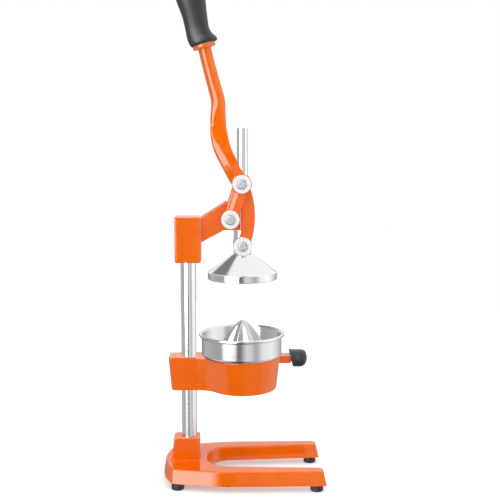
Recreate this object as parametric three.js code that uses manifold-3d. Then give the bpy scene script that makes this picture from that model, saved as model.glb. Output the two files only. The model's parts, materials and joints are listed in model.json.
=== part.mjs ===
// A lever citrus juice press that stands on a bench: a forked base with a steel post, a ring
// bracket that carries the juice bowl and reamer, and a head that guides the press rod.
// The lever turns on the head and drives the rod and its bell down through two curved links.
// Millimetres, +Z up, +X to the front. The origin is on the bench under the middle of the base.

import * as THREE from 'three';
import { mergeVertices } from 'three/addons/utils/BufferGeometryUtils.js';
import Module from 'manifold-3d';

const wasm = await Module();
wasm.setup();

// General fits
const seat_gap = 0.25;            // between pieces that rest on each other
const bore_gap = 0.3;             // round a pin, screw or shaft in its hole
const overrun = 2;                // how far a cutter runs past the face that it cuts
const round_steps = 20;           // facets round a middling cylinder
const fine_steps = 40;            // facets round the bowl, ring and bell
const small_steps = 14;           // facets round a screw shank
const weld_distance = 0.0005;     // points closer than this are one point

// Places of the three upright axes and of the linkage
const post_x = -71.6;             // axis of the post
const bowl_post_gap = 9.1;        // between the bowl's wall and the post, clear of the rim
const pivot_back = 15.7;          // the lever's pivot lies this far behind the press rod
const pivot_z = 347.9;            // height of the lever's pivot
const crank_length = 47;          // from the lever's pivot to the links' upper pivot
const crank_lean_deg = 18;        // forward lean of the crank with the lever up
const link_excess = 32.5;         // a link is this much longer than the crank, eye to eye

// Base
const foot_height = 9;
const foot_radius = 8.3;
const foot_chamfer = 0.7;
const foot_recess_radius = 4.6;
const foot_recess_depth = 4.5;
const foot_screw_length = 12;
const foot_screw_radius = 2;
const foot_screw_head_radius = 3.6;
const foot_screw_head_height = 2.4;
const foot_screw_socket_radius = 1.4;
const foot_screw_socket_depth = 1.2;
const base_front = 105.6;         // from the origin to the front of the legs
const base_rear = 105.6;          // from the origin to the back of the nose
const base_width = 124;
const base_thickness = 18.5;
const base_draft = 2;             // lean of the side walls over the thickness
const base_end_draft = 3.5;       // lean of the legs' front ends
const base_edge_radius = 2.5;
const waist_x = -30;              // where the sides start to close in towards the back
const waist_radius = 260;         // of the slow bend there
const nose_length = 13;           // from the nose's corners to the back of the base
const nose_side_inset = 13;       // the nose's corners lie this far inside the full width
const leg_end_radius = 3;
const leg_front_width = 21;
const leg_rear_width = 30;        // at the back of the cut-out that the glass stands in
const cutout_rear_x = -46;
const cutout_corner_radius = 31;
const foot_front_inset = 12;      // the feet's places inside the base's edges
const foot_side_inset = 10.5;
const foot_nose_inset = 7;
const foot_nose_side_inset = 7;
const socket_back = 20.8;         // from the post's axis to the back of the socket's top
const socket_front = 14;          // and to its front
const socket_rear_lean = 2.6;     // of the back wall, over the socket's height
const socket_depth = 30;          // along Y
const socket_top_z = 57;
const socket_draft = 0.6;
const socket_corner_radius = 3;
const socket_edge_radius = 1.5;

// Post and the screw that holds it from below
const post_radius = 10;
const post_bottom_z = 17;
const post_top_z = 341;
const post_chamfer = 1;
const post_screw_radius = 5;
const post_screw_depth = 24;
const post_screw_head_radius = 8.5;
const post_screw_head_height = 6.4;
const post_washer_radius = 10.5;
const post_washer_thickness = 1.5;
const counterbore_radius = 13;
const counterbore_depth = 3;

// Ring bracket, its handle bar and grip
const ring_top_z = 166.5;
const bracket_height = 44;
const ring_inset = 2;             // the ring lies this far inside the bowl's wall
const ring_top_wall = 4.5;
const ring_bore_taper = 6;        // the bore is smaller by this much at the bottom
const bracket_draft = 4.8;
const bracket_back = 26.2;        // from the post's axis to the back of the block
const bracket_back_draft_share = 0.75;
const bracket_block_half = 16;
const bracket_web_radius = 28;
const bracket_corner_radius = 4;
const bracket_edge_radius = 1.6;
const bracket_foot_radius = 2.4;
const bar_width = 20;
const bar_thickness = 9.5;
const bar_length = 13.5;          // out from the ring
const grip_stud_radius = 5;
const grip_stud_length = 15;
const bracket_grip_overlap = 2;   // over the bar's end
const bracket_grip_length = 24.5;
const bracket_grip_radius = 12.5;
const bracket_grip_half_width = 14;
const bracket_grip_slant = 5.5;

// Set screws
const set_screw_radius = 3;
const set_screw_length = 5.5;
const set_screw_socket = 1.6;
const set_screw_socket_depth = 2.5;

// Bowl, funnel, strainer and reamer
const bowl_radius = 51.5;
const bowl_wall = 1.6;
const bowl_rim_z = 194.6;
const bowl_rim_roll = 2.2;
const bowl_roll_turn_share = 0.675;  // of a full turn
const bowl_floor_bevel = 0.8;     // of the floor's opening, which the funnel hangs in
const funnel_angle_deg = 28;
const spout_radius = 14;
const spout_length = 4;
const strainer_thickness = 1.6;
const strainer_slots = 24;
const strainer_slot_inset = 5.5;  // from the bowl's wall to the slots
const strainer_slot_gap = 2.5;    // from the reamer to the slots
const strainer_slot_width = 3;
const strainer_land = 16;         // the plate reaches this far in under the reamer
const reamer_inset = 16.5;        // the reamer's foot lies this far inside the bowl's wall
const reamer_height = 43.5;
const reamer_wall = 3;
const reamer_ribs = 10;
const reamer_rib_depth_share = 0.1;
const reamer_rib_fade_share = 0.25;  // of the height, up from the foot
const reamer_hollow_waist_share = 0.55;

// Head
const head_width = 33.6;          // block along X
const head_depth = 34;            // block along Y
const head_top_z = 349.8;
const head_bottom_z = 291;
const head_corner_radius = 3;
const head_edge_radius = 2;
const head_arm_half = 12.5;
const hub_radius = 13;
const hub_top_z = 372;
const hub_lift = 19.9;            // of the hub's underside over the links' lower pivot
const arm_brow_back = 22;         // where the arm's top edge bends, behind the rod
const arm_brow_z = 369;
const arm_heel_z = 317;           // where the arm's lower edge leaves the block
const arm_chin_back = 24;         // where the arm's lower edge turns level, behind the rod
const bush_radius = 9;
const lower_bush_length = 8;
const upper_bush_length = 12;
const pivot_boss_radius = 9;

// Pivots: washers, screws and pins
const pin_radius = 6;
const cap_disc_radius = 11.6;
const cap_disc_thickness = 4.5;
const cap_recess_radius = 6.5;
const cap_recess_depth = 2.6;
const cap_chamfer = 0.6;
const screw_radius = 4;
const screw_head_radius = 5.7;
const screw_head_height = 4.4;
const screw_chamfer = 0.7;
const screw_socket_flats = 5;
const screw_socket_depth = 2.6;
const pin_thread_depth = 14;

// Links
const link_side_gap = 1;          // between the hub and a link
const link_thickness = 6;
const link_width = 16.5;
const link_bulge = 8;
const link_eye_radius = 12;
const link_bush_flange = 0.6;
const link_bush_flange_radius = 8;

// Press rod, collar and bell
const rod_radius = 7;
const rod_length = 162.15;
const rod_chamfer = 1.2;
const collar_radius = 12.5;
const collar_gap = 0.5;           // below the hub, with the lever up
const collar_boss_radius = 9;
const collar_chamfer = 1;
const collar_screw_recess = 0.5;
const bell_drop = 12.5;           // from the links' lower pivot to the bell's top
const bell_top_radius = 13.2;
const bell_inset = 6.3;           // the lip lies this far inside the bowl's wall
const bell_lip_step = 2.7;        // from the cone's foot out to the lip
const bell_cone_height = 23.6;
const bell_height = 32.2;
const bell_wall = 2;
const bell_washer_radius = 10;
const bell_washer_thickness = 1.5;
const bell_screw_depth = 16;

// Lever
const fork_side_gap = 0.5;        // between a link and the lever's cheek
const cheek_thickness = 7;
const cheek_chamfer = 2.4;
const chamfer_limit_share = 0.9;
const cheek_boss_radius = 12.6;
const arm_width = 21;
const strap_foot_share = 0.86;     // widths of the strap between the pivots
const strap_head_share = 0.9;
const arm_setback = 47;           // from the upper pivot back to the grip's flange
const arm_rise = 173.1;           // and up to it
const bar_top_radius = 8.6;
const bar_foot_radius = 8.8;
const flange_radius = 14.5;
const flange_thickness = 4.4;
const flange_lean_deg = 15.5;
const tang_radius = 5;
const grip_length = 118;
const grip_radius = 18.6;
const grip_end_gap = 3;
const grip_bore_depth = 96;

// Colours and finishes
function finish(colour, roughness, metalness) {
  return new THREE.MeshStandardMaterial({ color: colour, roughness, metalness });
}
const orange_enamel = finish(0xf66303, 0.22, 0);
const bright_steel = finish(0xc8cacc, 0.16, 1);
const white_nylon = finish(0xf0eeec, 0.35, 0);
const brushed_steel = finish(0xb4b6b8, 0.32, 1);
const zinc_steel = finish(0x9a9ca0, 0.4, 1);
const black_rubber = finish(0x24211f, 0.85, 0);
const grey_grip = finish(0x3c3c3c, 0.5, 0);
const bronze = finish(0xa8804c, 0.4, 1);

// Places that follow from the sizes above
const press_x = post_x + post_radius + bowl_post_gap + bowl_radius;  // axis of the press rod
const base_top_z = foot_height + base_thickness;
const nose_corner_x = -base_rear + nose_length;
const nose_corner_y = base_width / 2 - nose_side_inset;
const cutout_rear_half = base_width / 2 - leg_rear_width;
const cutout_front_half = base_width / 2 - leg_front_width;
const front_foot_x = base_front - foot_front_inset;
const front_foot_y = base_width / 2 - foot_side_inset;
const rear_foot_x = nose_corner_x + foot_nose_inset;
const rear_foot_y = nose_corner_y - foot_nose_side_inset;
const ring_radius = bowl_radius - ring_inset;
const ring_bore_top_radius = ring_radius - ring_top_wall;
const ring_bore_bottom_radius = ring_bore_top_radius - ring_bore_taper;
const bar_end_x = press_x + ring_radius + bar_length;
const reamer_radius = bowl_radius - reamer_inset;
const strainer_slot_outer = bowl_radius - strainer_slot_inset;
const strainer_slot_inner = reamer_radius + strainer_slot_gap;
const strainer_hole_radius = reamer_radius - strainer_land;
const bell_lip_radius = bowl_radius - bell_inset;
const bell_cone_radius = bell_lip_radius - bell_lip_step;
const link_inner_y = hub_radius + link_side_gap;
const link_outer_y = link_inner_y + link_thickness;
const cheek_inner_y = link_outer_y + fork_side_gap;
const cheek_outer_y = cheek_inner_y + cheek_thickness;
const crank_lean = THREE.MathUtils.degToRad(crank_lean_deg);
const pivot_x = press_x - pivot_back;
const upper_x = pivot_x + crank_length * Math.sin(crank_lean);
const upper_z = pivot_z + crank_length * Math.cos(crank_lean);
const link_length = crank_length + link_excess;
const lower_x = press_x;
const lower_z = upper_z - Math.sqrt(link_length ** 2 - (upper_x - lower_x) ** 2);
const hub_bottom_z = lower_z + hub_lift;
const bell_top_z = lower_z - bell_drop;
const bell_cone_foot_z = bell_top_z - bell_cone_height;
const bell_lip_bottom_z = bell_top_z - bell_height;
const rod_bottom_z = bell_top_z + seat_gap;
const rod_top_z = rod_bottom_z + rod_length;
const bowl_seat_z = ring_top_z + seat_gap;
const sides = [['near', -1], ['far', 1]];

// Solids: closed geometry in and out of the boolean library
function toSolid(geometry) {
  const bare = geometry.clone();
  bare.deleteAttribute('normal');
  bare.deleteAttribute('uv');
  const merged = mergeVertices(bare, weld_distance);
  const mesh = new wasm.Mesh({
    numProp: 3,
    vertProperties: new Float32Array(merged.attributes.position.array),
    triVerts: new Uint32Array(merged.index.array),
  });
  mesh.merge();
  return new wasm.Manifold(mesh);
}

function toGeometry(solid) {
  const mesh = solid.getMesh();
  const geometry = new THREE.BufferGeometry();
  geometry.setAttribute('position', new THREE.BufferAttribute(mesh.vertProperties, 3));
  geometry.setIndex(new THREE.BufferAttribute(mesh.triVerts, 1));
  geometry.computeVertexNormals();
  return geometry;
}

function join(...geometries) {
  return toGeometry(geometries.map(toSolid).reduce((sum, next) => sum.add(next)));
}

function cut(geometry, ...cutters) {
  return toGeometry(cutters.map(toSolid).reduce((rest, cutter) => rest.subtract(cutter), toSolid(geometry)));
}

// A bar of circular section between two heights, upright at (x, y)
function upright(radius, x, y, low, high, steps = round_steps) {
  const bar = new THREE.CylinderGeometry(radius, radius, high - low, steps);
  return bar.rotateX(Math.PI / 2).translate(x, y, (low + high) / 2);
}

// A bar of circular section along Y at (x, z)
function crosswise(radius, x, z, from, to, steps = round_steps) {
  return new THREE.CylinderGeometry(radius, radius, to - from, steps).translate(x, (from + to) / 2, z);
}

// A bar of circular section along X at (y, z)
function lengthwise(radius, y, z, from, to, steps = small_steps) {
  const bar = new THREE.CylinderGeometry(radius, radius, to - from, steps);
  return bar.rotateZ(Math.PI / 2).translate((from + to) / 2, y, z);
}

// A turned piece about an upright axis: the profile lists radius and height
function turned(profile, x, y, steps = round_steps) {
  const points = profile.map(([radius, height]) => new THREE.Vector2(radius, height));
  return new THREE.LatheGeometry(points, steps).rotateX(Math.PI / 2).translate(x, y, 0);
}

// A turned piece about Y: the profile lists radius and distance out from the middle plane
function turnedCrosswise(profile, x, z, side, steps = round_steps) {
  const points = profile.map(([radius, out]) => new THREE.Vector2(radius, out));
  const piece = new THREE.LatheGeometry(points, steps);
  if (side < 0) piece.rotateZ(Math.PI);
  return piece.translate(x, 0, z);
}

// An outline whose corners [x, y, radius] are rounded with arcs
function softCorners(corners, steps = 5) {
  const outline = [];
  corners.forEach(([x, y, radius], index) => {
    const corner = new THREE.Vector2(x, y);
    if (!radius) {
      outline.push(corner);
      return;
    }
    const before = corners[(index + corners.length - 1) % corners.length];
    const after = corners[(index + 1) % corners.length];
    const back = new THREE.Vector2(before[0] - x, before[1] - y).normalize();
    const ahead = new THREE.Vector2(after[0] - x, after[1] - y).normalize();
    const half = Math.acos(THREE.MathUtils.clamp(back.dot(ahead), -1, 1)) / 2;
    const middle = back.clone().add(ahead).normalize().multiplyScalar(radius / Math.sin(half));
    const centre = corner.clone().add(middle);
    const start = corner.clone().addScaledVector(back, radius / Math.tan(half)).sub(centre);
    const end = corner.clone().addScaledVector(ahead, radius / Math.tan(half)).sub(centre);
    const turn = Math.atan2(start.cross(end), start.dot(end));
    for (let step = 0; step <= steps; step += 1) {
      outline.push(start.clone().rotateAround(new THREE.Vector2(), turn * step / steps).add(centre));
    }
  });
  return outline;
}

// A solid through level outlines that have the same number of points
function stack(outlines, heights) {
  const count = outlines[0].length;
  const places = [];
  outlines.forEach((outline, level) => outline.forEach((p) => places.push(p.x, p.y, heights[level])));
  const faces = [];
  for (let level = 0; level < outlines.length - 1; level += 1) {
    for (let i = 0; i < count; i += 1) {
      const a = level * count + i;
      const b = level * count + (i + 1) % count;
      faces.push(a, b, b + count, a, b + count, a + count);
    }
  }
  const lid = (outlines.length - 1) * count;
  THREE.ShapeUtils.triangulateShape(outlines[0], []).forEach(([a, b, c]) => {
    faces.push(a, c, b, lid + a, lid + b, lid + c);
  });
  return indexed(places, faces);
}

// A solid through rings of points in space, closed by flat ends
function skin(rings) {
  const count = rings[0].length;
  const places = rings.flat().flatMap((p) => [p.x, p.y, p.z]);
  const faces = [];
  for (let ring = 0; ring < rings.length - 1; ring += 1) {
    for (let i = 0; i < count; i += 1) {
      const a = ring * count + i;
      const b = ring * count + (i + 1) % count;
      faces.push(a, b, b + count, a, b + count, a + count);
    }
  }
  const last = (rings.length - 1) * count;
  for (let i = 1; i < count - 1; i += 1) {
    faces.push(0, i + 1, i, last, last + i, last + i + 1);
  }
  return indexed(places, faces);
}

function indexed(places, faces) {
  const geometry = new THREE.BufferGeometry();
  geometry.setAttribute('position', new THREE.Float32BufferAttribute(places, 3));
  geometry.setIndex(faces);
  return geometry;
}

// A plate cut from an outline in XZ, standing between two distances along Y
function plate(outline, from, to) {
  const shape = new THREE.Shape(outline);
  const slab = new THREE.ExtrudeGeometry(shape, { depth: to - from, bevelEnabled: false });
  return slab.rotateX(Math.PI / 2).translate(0, to, 0);
}

// The heights and insets of a wall with draft that ends in a rounded top edge
function draftedEdge(low, high, draft, edge, steps = 3) {
  const levels = [[low, 0]];
  for (let step = 0; step <= steps; step += 1) {
    const angle = Math.PI / 2 * step / steps;
    levels.push([high - edge + edge * Math.sin(angle), draft + edge * (1 - Math.cos(angle))]);
  }
  return levels;
}

const press = new THREE.Group();

function add(name, geometry, material) {
  const mesh = new THREE.Mesh(geometry, material);
  mesh.name = name;
  press.add(mesh);
}

// Base casting: two legs round the cut-out, a rounded nose and the post's socket
function noseOutline(inset) {
  const side = nose_corner_y - inset;
  const rear = -base_rear + inset;
  const corner = nose_corner_x + inset / 2;
  const bow = (side ** 2 + (corner - rear) ** 2) / (2 * (corner - rear));
  const steps = 10;
  const points = [];
  for (let step = 0; step <= steps; step += 1) {
    const y = side - 2 * side * step / steps;
    points.push([rear + bow - Math.sqrt(bow ** 2 - y ** 2), y, 0]);
  }
  return points;
}

function baseOutline(inset) {
  const side = base_width / 2 - inset;
  const front = base_front - inset * base_end_draft / base_draft;
  const inner_front = cutout_front_half + inset;
  const inner_rear = cutout_rear_half + inset;
  const back = cutout_rear_x - inset;
  return softCorners([
    [front, inner_front, leg_end_radius],
    [front, side, leg_end_radius],
    [waist_x, side, waist_radius],
    ...noseOutline(inset),
    [waist_x, -side, waist_radius],
    [front, -side, leg_end_radius],
    [front, -inner_front, leg_end_radius],
    [back, -inner_rear, cutout_corner_radius],
    [back, inner_rear, cutout_corner_radius],
  ], 8);
}

function rectangle(width, depth, x, inset, radius) {
  const across = width / 2 - inset;
  const along = depth / 2 - inset;
  return softCorners([
    [x - across, -along, radius], [x + across, -along, radius],
    [x + across, along, radius], [x - across, along, radius],
  ]);
}

function setScrewHole(back_x, z) {
  return lengthwise(set_screw_radius + bore_gap, 0, z, back_x - overrun, post_x, small_steps);
}

function baseCasting() {
  const body_levels = draftedEdge(foot_height, base_top_z, base_draft, base_edge_radius);
  const body = stack(body_levels.map(([, inset]) => baseOutline(inset)), body_levels.map(([z]) => z));
  const socket_levels = draftedEdge(base_top_z - overrun, socket_top_z, socket_draft, socket_edge_radius);
  const socket = stack(
    socket_levels.map(([z, inset]) => {
      const lean = socket_rear_lean * (socket_top_z - z) / (socket_top_z - base_top_z);
      const width = socket_front + socket_back + lean;
      return rectangle(width, socket_depth, post_x + socket_front - width / 2, inset, socket_corner_radius);
    }),
    socket_levels.map(([z]) => z),
  );
  const cutters = [
    upright(post_radius + bore_gap, post_x, 0, post_bottom_z - seat_gap, socket_top_z + overrun),
    upright(post_screw_radius + bore_gap, post_x, 0, foot_height, socket_top_z),
    upright(counterbore_radius, post_x, 0, foot_height - overrun, foot_height + counterbore_depth),
  ];
  const screw_hole = foot_screw_radius + bore_gap;
  feet().forEach(([, x, y]) => {
    cutters.push(upright(screw_hole, x, y, foot_height - overrun, foot_screw_top_z, small_steps));
  });
  return cut(join(body, socket), ...cutters);
}

// Feet and the screws that hold them
const foot_screw_head_z = foot_recess_depth - seat_gap;
const foot_screw_top_z = foot_recess_depth + foot_screw_length;

function feet() {
  return [
    ['front_near', front_foot_x, -front_foot_y],
    ['front_far', front_foot_x, front_foot_y],
    ['rear_near', rear_foot_x, -rear_foot_y],
    ['rear_far', rear_foot_x, rear_foot_y],
  ];
}

function foot(x, y) {
  const top = foot_height - seat_gap;
  const hole = foot_screw_radius + bore_gap;
  return turned([
    [foot_recess_radius, 0], [foot_radius - foot_chamfer, 0], [foot_radius, foot_chamfer], [foot_radius, top],
    [hole, top], [hole, foot_recess_depth], [foot_recess_radius, foot_recess_depth], [foot_recess_radius, 0],
  ], x, y);
}

function footScrew(x, y) {
  const low = foot_screw_head_z - foot_screw_head_height;
  const socket = low + foot_screw_socket_depth;
  return turned([
    [0, socket], [foot_screw_socket_radius, socket], [foot_screw_socket_radius, low],
    [foot_screw_head_radius, low],
    [foot_screw_head_radius, foot_screw_head_z], [foot_screw_radius, foot_screw_head_z],
    [foot_screw_radius, foot_screw_top_z - bore_gap], [0, foot_screw_top_z - bore_gap],
  ], x, y, small_steps);
}

// Post with its screw and washer under the base
function post() {
  const bar = turned([
    [0, post_bottom_z], [post_radius - post_chamfer, post_bottom_z],
    [post_radius, post_bottom_z + post_chamfer], [post_radius, post_top_z - post_chamfer],
    [post_radius - post_chamfer, post_top_z], [0, post_top_z],
  ], post_x, 0);
  const thread_end = post_bottom_z + post_screw_depth;
  return cut(bar, upright(post_screw_radius + bore_gap, post_x, 0, post_bottom_z - overrun, thread_end));
}

const post_washer_z = foot_height + counterbore_depth - seat_gap - post_washer_thickness;

function washer(outer, inner, x, low, thickness) {
  return turned([
    [inner, low], [outer, low], [outer, low + thickness], [inner, low + thickness], [inner, low],
  ], x, 0);
}

function postScrew() {
  const head_top = post_washer_z - seat_gap;
  const head_low = head_top - post_screw_head_height;
  const hexagon = turned([
    [0, head_low], [post_screw_head_radius, head_low], [post_screw_head_radius, head_top], [0, head_top],
  ], post_x, 0, 6);
  const shank_top = post_bottom_z + post_screw_depth - overrun;
  const shank = upright(post_screw_radius, post_x, 0, head_top - overrun, shank_top, round_steps);
  return join(hexagon, shank);
}

// Ring bracket: a block clamped on the post, a web that flares into the ring, and a handle bar
function bracketOutline(inset) {
  const ring = ring_radius - inset;
  const half = bracket_block_half - inset / 3;
  const back = post_x - bracket_back + inset * bracket_back_draft_share;
  const web = bracket_web_radius + inset;
  const web_y = half + web;
  const web_x = press_x - Math.sqrt((ring + web) ** 2 - web_y ** 2);
  const meet = Math.atan2(web_y, press_x - web_x);
  const web_arc = [];
  const ring_arc = [];
  const web_steps = 6;
  for (let step = 0; step <= web_steps; step += 1) {
    const angle = Math.PI / 2 - (Math.PI / 2 - meet) * step / web_steps;
    web_arc.push([web_x + web * Math.cos(angle), -web_y + web * Math.sin(angle), 0]);
  }
  const ring_steps = fine_steps * 3 / 4;
  for (let step = 1; step < ring_steps; step += 1) {
    const angle = Math.PI + meet + (2 * Math.PI - 2 * meet) * step / ring_steps;
    ring_arc.push([press_x + ring * Math.cos(angle), ring * Math.sin(angle), 0]);
  }
  const far_arc = web_arc.map(([x, y]) => [x, -y, 0]).reverse();
  return softCorners([
    [back, -half, bracket_corner_radius], ...web_arc, ...ring_arc, ...far_arc,
    [back, half, bracket_corner_radius],
  ]);
}

function bracketCasting() {
  const bottom_z = ring_top_z - bracket_height;
  const levels = [
    [bottom_z, bracket_draft + bracket_foot_radius],
    [bottom_z + bracket_foot_radius, bracket_draft],
    [ring_top_z - bracket_edge_radius, 0],
    [ring_top_z, bracket_edge_radius],
  ];
  const body = stack(levels.map(([, inset]) => bracketOutline(inset)), levels.map(([z]) => z));
  const bar_start = press_x + ring_radius - bracket_draft;
  const bar = new THREE.BoxGeometry(bar_end_x - bar_start, bar_width, bar_thickness)
    .translate((bar_start + bar_end_x) / 2, 0, ring_top_z - bar_thickness / 2);
  const stud_z = ring_top_z - bar_thickness / 2;
  const stud_end = bar_end_x + grip_stud_length;
  const stud = lengthwise(grip_stud_radius, 0, stud_z, bar_end_x - overrun, stud_end, round_steps);
  const solid = join(body, bar, stud);
  const ring_bore = turned([
    [0, bottom_z - overrun], [ring_bore_bottom_radius, bottom_z - overrun],
    [ring_bore_top_radius, ring_top_z], [ring_bore_top_radius, ring_top_z + overrun], [0, ring_top_z + overrun],
  ], press_x, 0, fine_steps);
  const post_bore = upright(post_radius + bore_gap, post_x, 0, bottom_z - overrun, ring_top_z + overrun);
  return cut(solid, ring_bore, post_bore, setScrewHole(post_x - bracket_back, bracket_screw_z));
}

const bracket_screw_z = ring_top_z - bracket_height / 2;
const head_screw_z = (head_top_z + head_bottom_z) / 2;

// A headless screw from the back, pressing on the post
function setScrew(z) {
  const tip = post_x - post_radius - bore_gap;
  const back = tip - set_screw_length;
  const body = lengthwise(set_screw_radius, 0, z, back, tip, small_steps);
  return cut(body, lengthwise(set_screw_socket, 0, z, back - overrun, back + set_screw_socket_depth, 6));
}

// Grip on the bracket's bar: oval, with a slanted mouth and a rounded end
function bracketGrip() {
  const z = ring_top_z - bar_thickness / 2;
  const start = bar_end_x - bracket_grip_overlap;
  const length_shares = [0, 0.12, 0.3, 0.62, 0.82, 0.93, 1];
  const size_shares = [1, 0.96, 0.9, 0.97, 0.9, 0.68, 0.3];
  const rings = length_shares.map((along, index) => {
    const ring = [];
    for (let step = 0; step < round_steps; step += 1) {
      const angle = 2 * Math.PI * step / round_steps;
      const up = Math.sin(angle) * bracket_grip_radius * size_shares[index];
      const across = Math.cos(angle) * bracket_grip_half_width * size_shares[index];
      const slant = (1 - along) * bracket_grip_slant * (1 - up / bracket_grip_radius) / 2;
      ring.push(new THREE.Vector3(start + along * bracket_grip_length + slant, across, z + up));
    }
    return ring;
  });
  const mouth = new THREE.BoxGeometry(bar_end_x + bore_gap - start + overrun, bar_width + 2 * bore_gap,
    bar_thickness + 2 * bore_gap).translate((start - overrun + bar_end_x + bore_gap) / 2, 0, z);
  const bore_end = bar_end_x + grip_stud_length + bore_gap;
  const stud_bore = lengthwise(grip_stud_radius + bore_gap, 0, z, start, bore_end, round_steps);
  return cut(skin(rings), mouth, stud_bore);
}

// Bowl: a rolled rim, an upright wall and a flat floor on the ring, open in the middle
const floor_opening_radius = ring_bore_top_radius - bore_gap;

function bowl() {
  const inner = bowl_radius - bowl_wall;
  const floor_z = bowl_seat_z + bowl_wall;
  const roll_radius = bowl_radius + bowl_rim_roll - bowl_wall / 2;
  const profile = [
    [inner, floor_z], [floor_opening_radius, floor_z],
    [floor_opening_radius - bowl_floor_bevel, bowl_seat_z], [bowl_radius - bowl_wall / 2, bowl_seat_z],
    [bowl_radius, bowl_seat_z + bowl_wall / 2], [bowl_radius, bowl_rim_z - bowl_rim_roll],
  ];
  const roll_steps = 8;
  for (let step = 1; step < roll_steps; step += 1) {
    const angle = -Math.PI / 2 + 2 * Math.PI * bowl_roll_turn_share * step / roll_steps;
    profile.push([roll_radius + bowl_rim_roll * Math.cos(angle), bowl_rim_z + bowl_rim_roll * Math.sin(angle)]);
  }
  profile.push([inner, bowl_rim_z + bowl_rim_roll / 2], [inner, floor_z]);
  return turned(profile, press_x, 0, fine_steps);
}

// Funnel: a cone that hangs in the bevelled opening of the bowl's floor, with a short spout
function funnel() {
  const slope = Math.tan(THREE.MathUtils.degToRad(funnel_angle_deg));
  const high = floor_opening_radius - seat_gap;
  const low = high - bowl_floor_bevel;
  const floor_z = bowl_seat_z + bowl_wall;
  const spout_inner = spout_radius - bowl_wall;
  const spout_top_z = bowl_seat_z - (low - spout_radius) * slope;
  const spout_low_z = spout_top_z - spout_length;
  return turned([
    [high, floor_z], [spout_inner, floor_z - (high - spout_inner) * slope],
    [spout_inner, spout_low_z], [spout_radius, spout_low_z], [spout_radius, spout_top_z],
    [low, bowl_seat_z], [high, floor_z],
  ], press_x, 0, fine_steps);
}

// Strainer plate with a ring of slots
function strainer() {
  const low = bowl_seat_z + bowl_wall + seat_gap;
  const outer = bowl_radius - bowl_wall - bore_gap;
  const disc = turned([
    [strainer_hole_radius, low], [outer, low], [outer, low + strainer_thickness],
    [strainer_hole_radius, low + strainer_thickness], [strainer_hole_radius, low],
  ], press_x, 0, fine_steps);
  const slot_length = strainer_slot_outer - strainer_slot_inner;
  const slots = [];
  for (let slot = 0; slot < strainer_slots; slot += 1) {
    slots.push(new THREE.BoxGeometry(slot_length, strainer_slot_width, strainer_thickness + 2 * overrun)
      .translate((strainer_slot_inner + strainer_slot_outer) / 2, 0, low)
      .rotateZ(2 * Math.PI * slot / strainer_slots)
      .translate(press_x, 0, 0));
  }
  return cut(disc, ...slots);
}

// Reamer: a hollow ribbed cone that stands on the strainer
function ribbedCone(foot_z) {
  const around = reamer_ribs * 6;
  const height_shares = [0, 0.1, 0.3, 0.5, 0.68, 0.82, 0.92, 0.98];
  const radius_shares = [1, 0.93, 0.78, 0.62, 0.46, 0.31, 0.18, 0.07];
  return skin(height_shares.map((up, index) => {
    const ring = [];
    for (let step = 0; step < around; step += 1) {
      const angle = 2 * Math.PI * step / around;
      const fade = Math.min(1, up / reamer_rib_fade_share);
      const rib = 1 - reamer_rib_depth_share * fade * (1 - Math.cos(reamer_ribs * angle)) / 2;
      const reach = reamer_radius * radius_shares[index] * rib;
      const z = foot_z + up * reamer_height;
      ring.push(new THREE.Vector3(press_x + reach * Math.cos(angle), reach * Math.sin(angle), z));
    }
    return ring;
  }));
}

function reamer() {
  const foot_z = bowl_seat_z + bowl_wall + strainer_thickness + 2 * seat_gap;
  const outer = ribbedCone(foot_z);
  const hollow_height = reamer_height - 2 * reamer_wall;
  const hollow = turned([
    [0, foot_z - overrun], [reamer_radius - reamer_wall - overrun, foot_z - overrun],
    [reamer_radius * reamer_hollow_waist_share, foot_z + hollow_height / 2],
    [reamer_wall, foot_z + hollow_height], [0, foot_z + hollow_height],
  ], press_x, 0);
  return cut(outer, hollow);
}

// Head: a block on the post, an arm that rises to the hub, and the lever's pivot bosses
function headCasting() {
  const block_levels = [
    [head_bottom_z, head_edge_radius], [head_bottom_z + head_edge_radius, 0],
    [head_top_z - head_edge_radius, 0], [head_top_z, head_edge_radius],
  ];
  const block = stack(
    block_levels.map(([, inset]) => rectangle(head_width, head_depth, post_x, inset, head_corner_radius)),
    block_levels.map(([z]) => z),
  );
  const block_front = post_x + head_width / 2;
  const arm = plate([
    new THREE.Vector2(block_front - overrun, head_top_z - head_edge_radius),
    new THREE.Vector2(block_front, head_top_z - head_edge_radius / 2),
    new THREE.Vector2(press_x - arm_brow_back, arm_brow_z),
    new THREE.Vector2(press_x - hub_radius / 2, hub_top_z),
    new THREE.Vector2(press_x, hub_top_z),
    new THREE.Vector2(press_x, hub_bottom_z),
    new THREE.Vector2(press_x - arm_chin_back, hub_bottom_z),
    new THREE.Vector2(block_front, arm_heel_z),
    new THREE.Vector2(block_front - overrun, arm_heel_z - overrun / 2),
  ], -head_arm_half, head_arm_half);
  const hub = upright(hub_radius, press_x, 0, hub_bottom_z, hub_top_z);
  const boss_reach = cheek_inner_y - bore_gap;
  const boss = crosswise(pivot_boss_radius, pivot_x, pivot_z, -boss_reach, boss_reach);
  const bush_seat = bush_radius + seat_gap;
  return cut(
    join(block, arm, hub, boss),
    upright(post_radius + bore_gap, post_x, 0, head_bottom_z - overrun, post_top_z + seat_gap),
    upright(rod_radius + bore_gap, press_x, 0, hub_bottom_z - overrun, hub_top_z + overrun),
    upright(bush_seat, press_x, 0, hub_bottom_z - overrun, hub_bottom_z + lower_bush_length + seat_gap),
    upright(bush_seat, press_x, 0, hub_top_z - upper_bush_length - seat_gap, hub_top_z + overrun),
    crosswise(pin_radius + bore_gap, pivot_x, pivot_z, -boss_reach - overrun, boss_reach + overrun),
    setScrewHole(post_x - head_width / 2, head_screw_z),
  );
}

function bush(low, length) {
  return washer(bush_radius, rod_radius + bore_gap, press_x, low, length);
}

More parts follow.
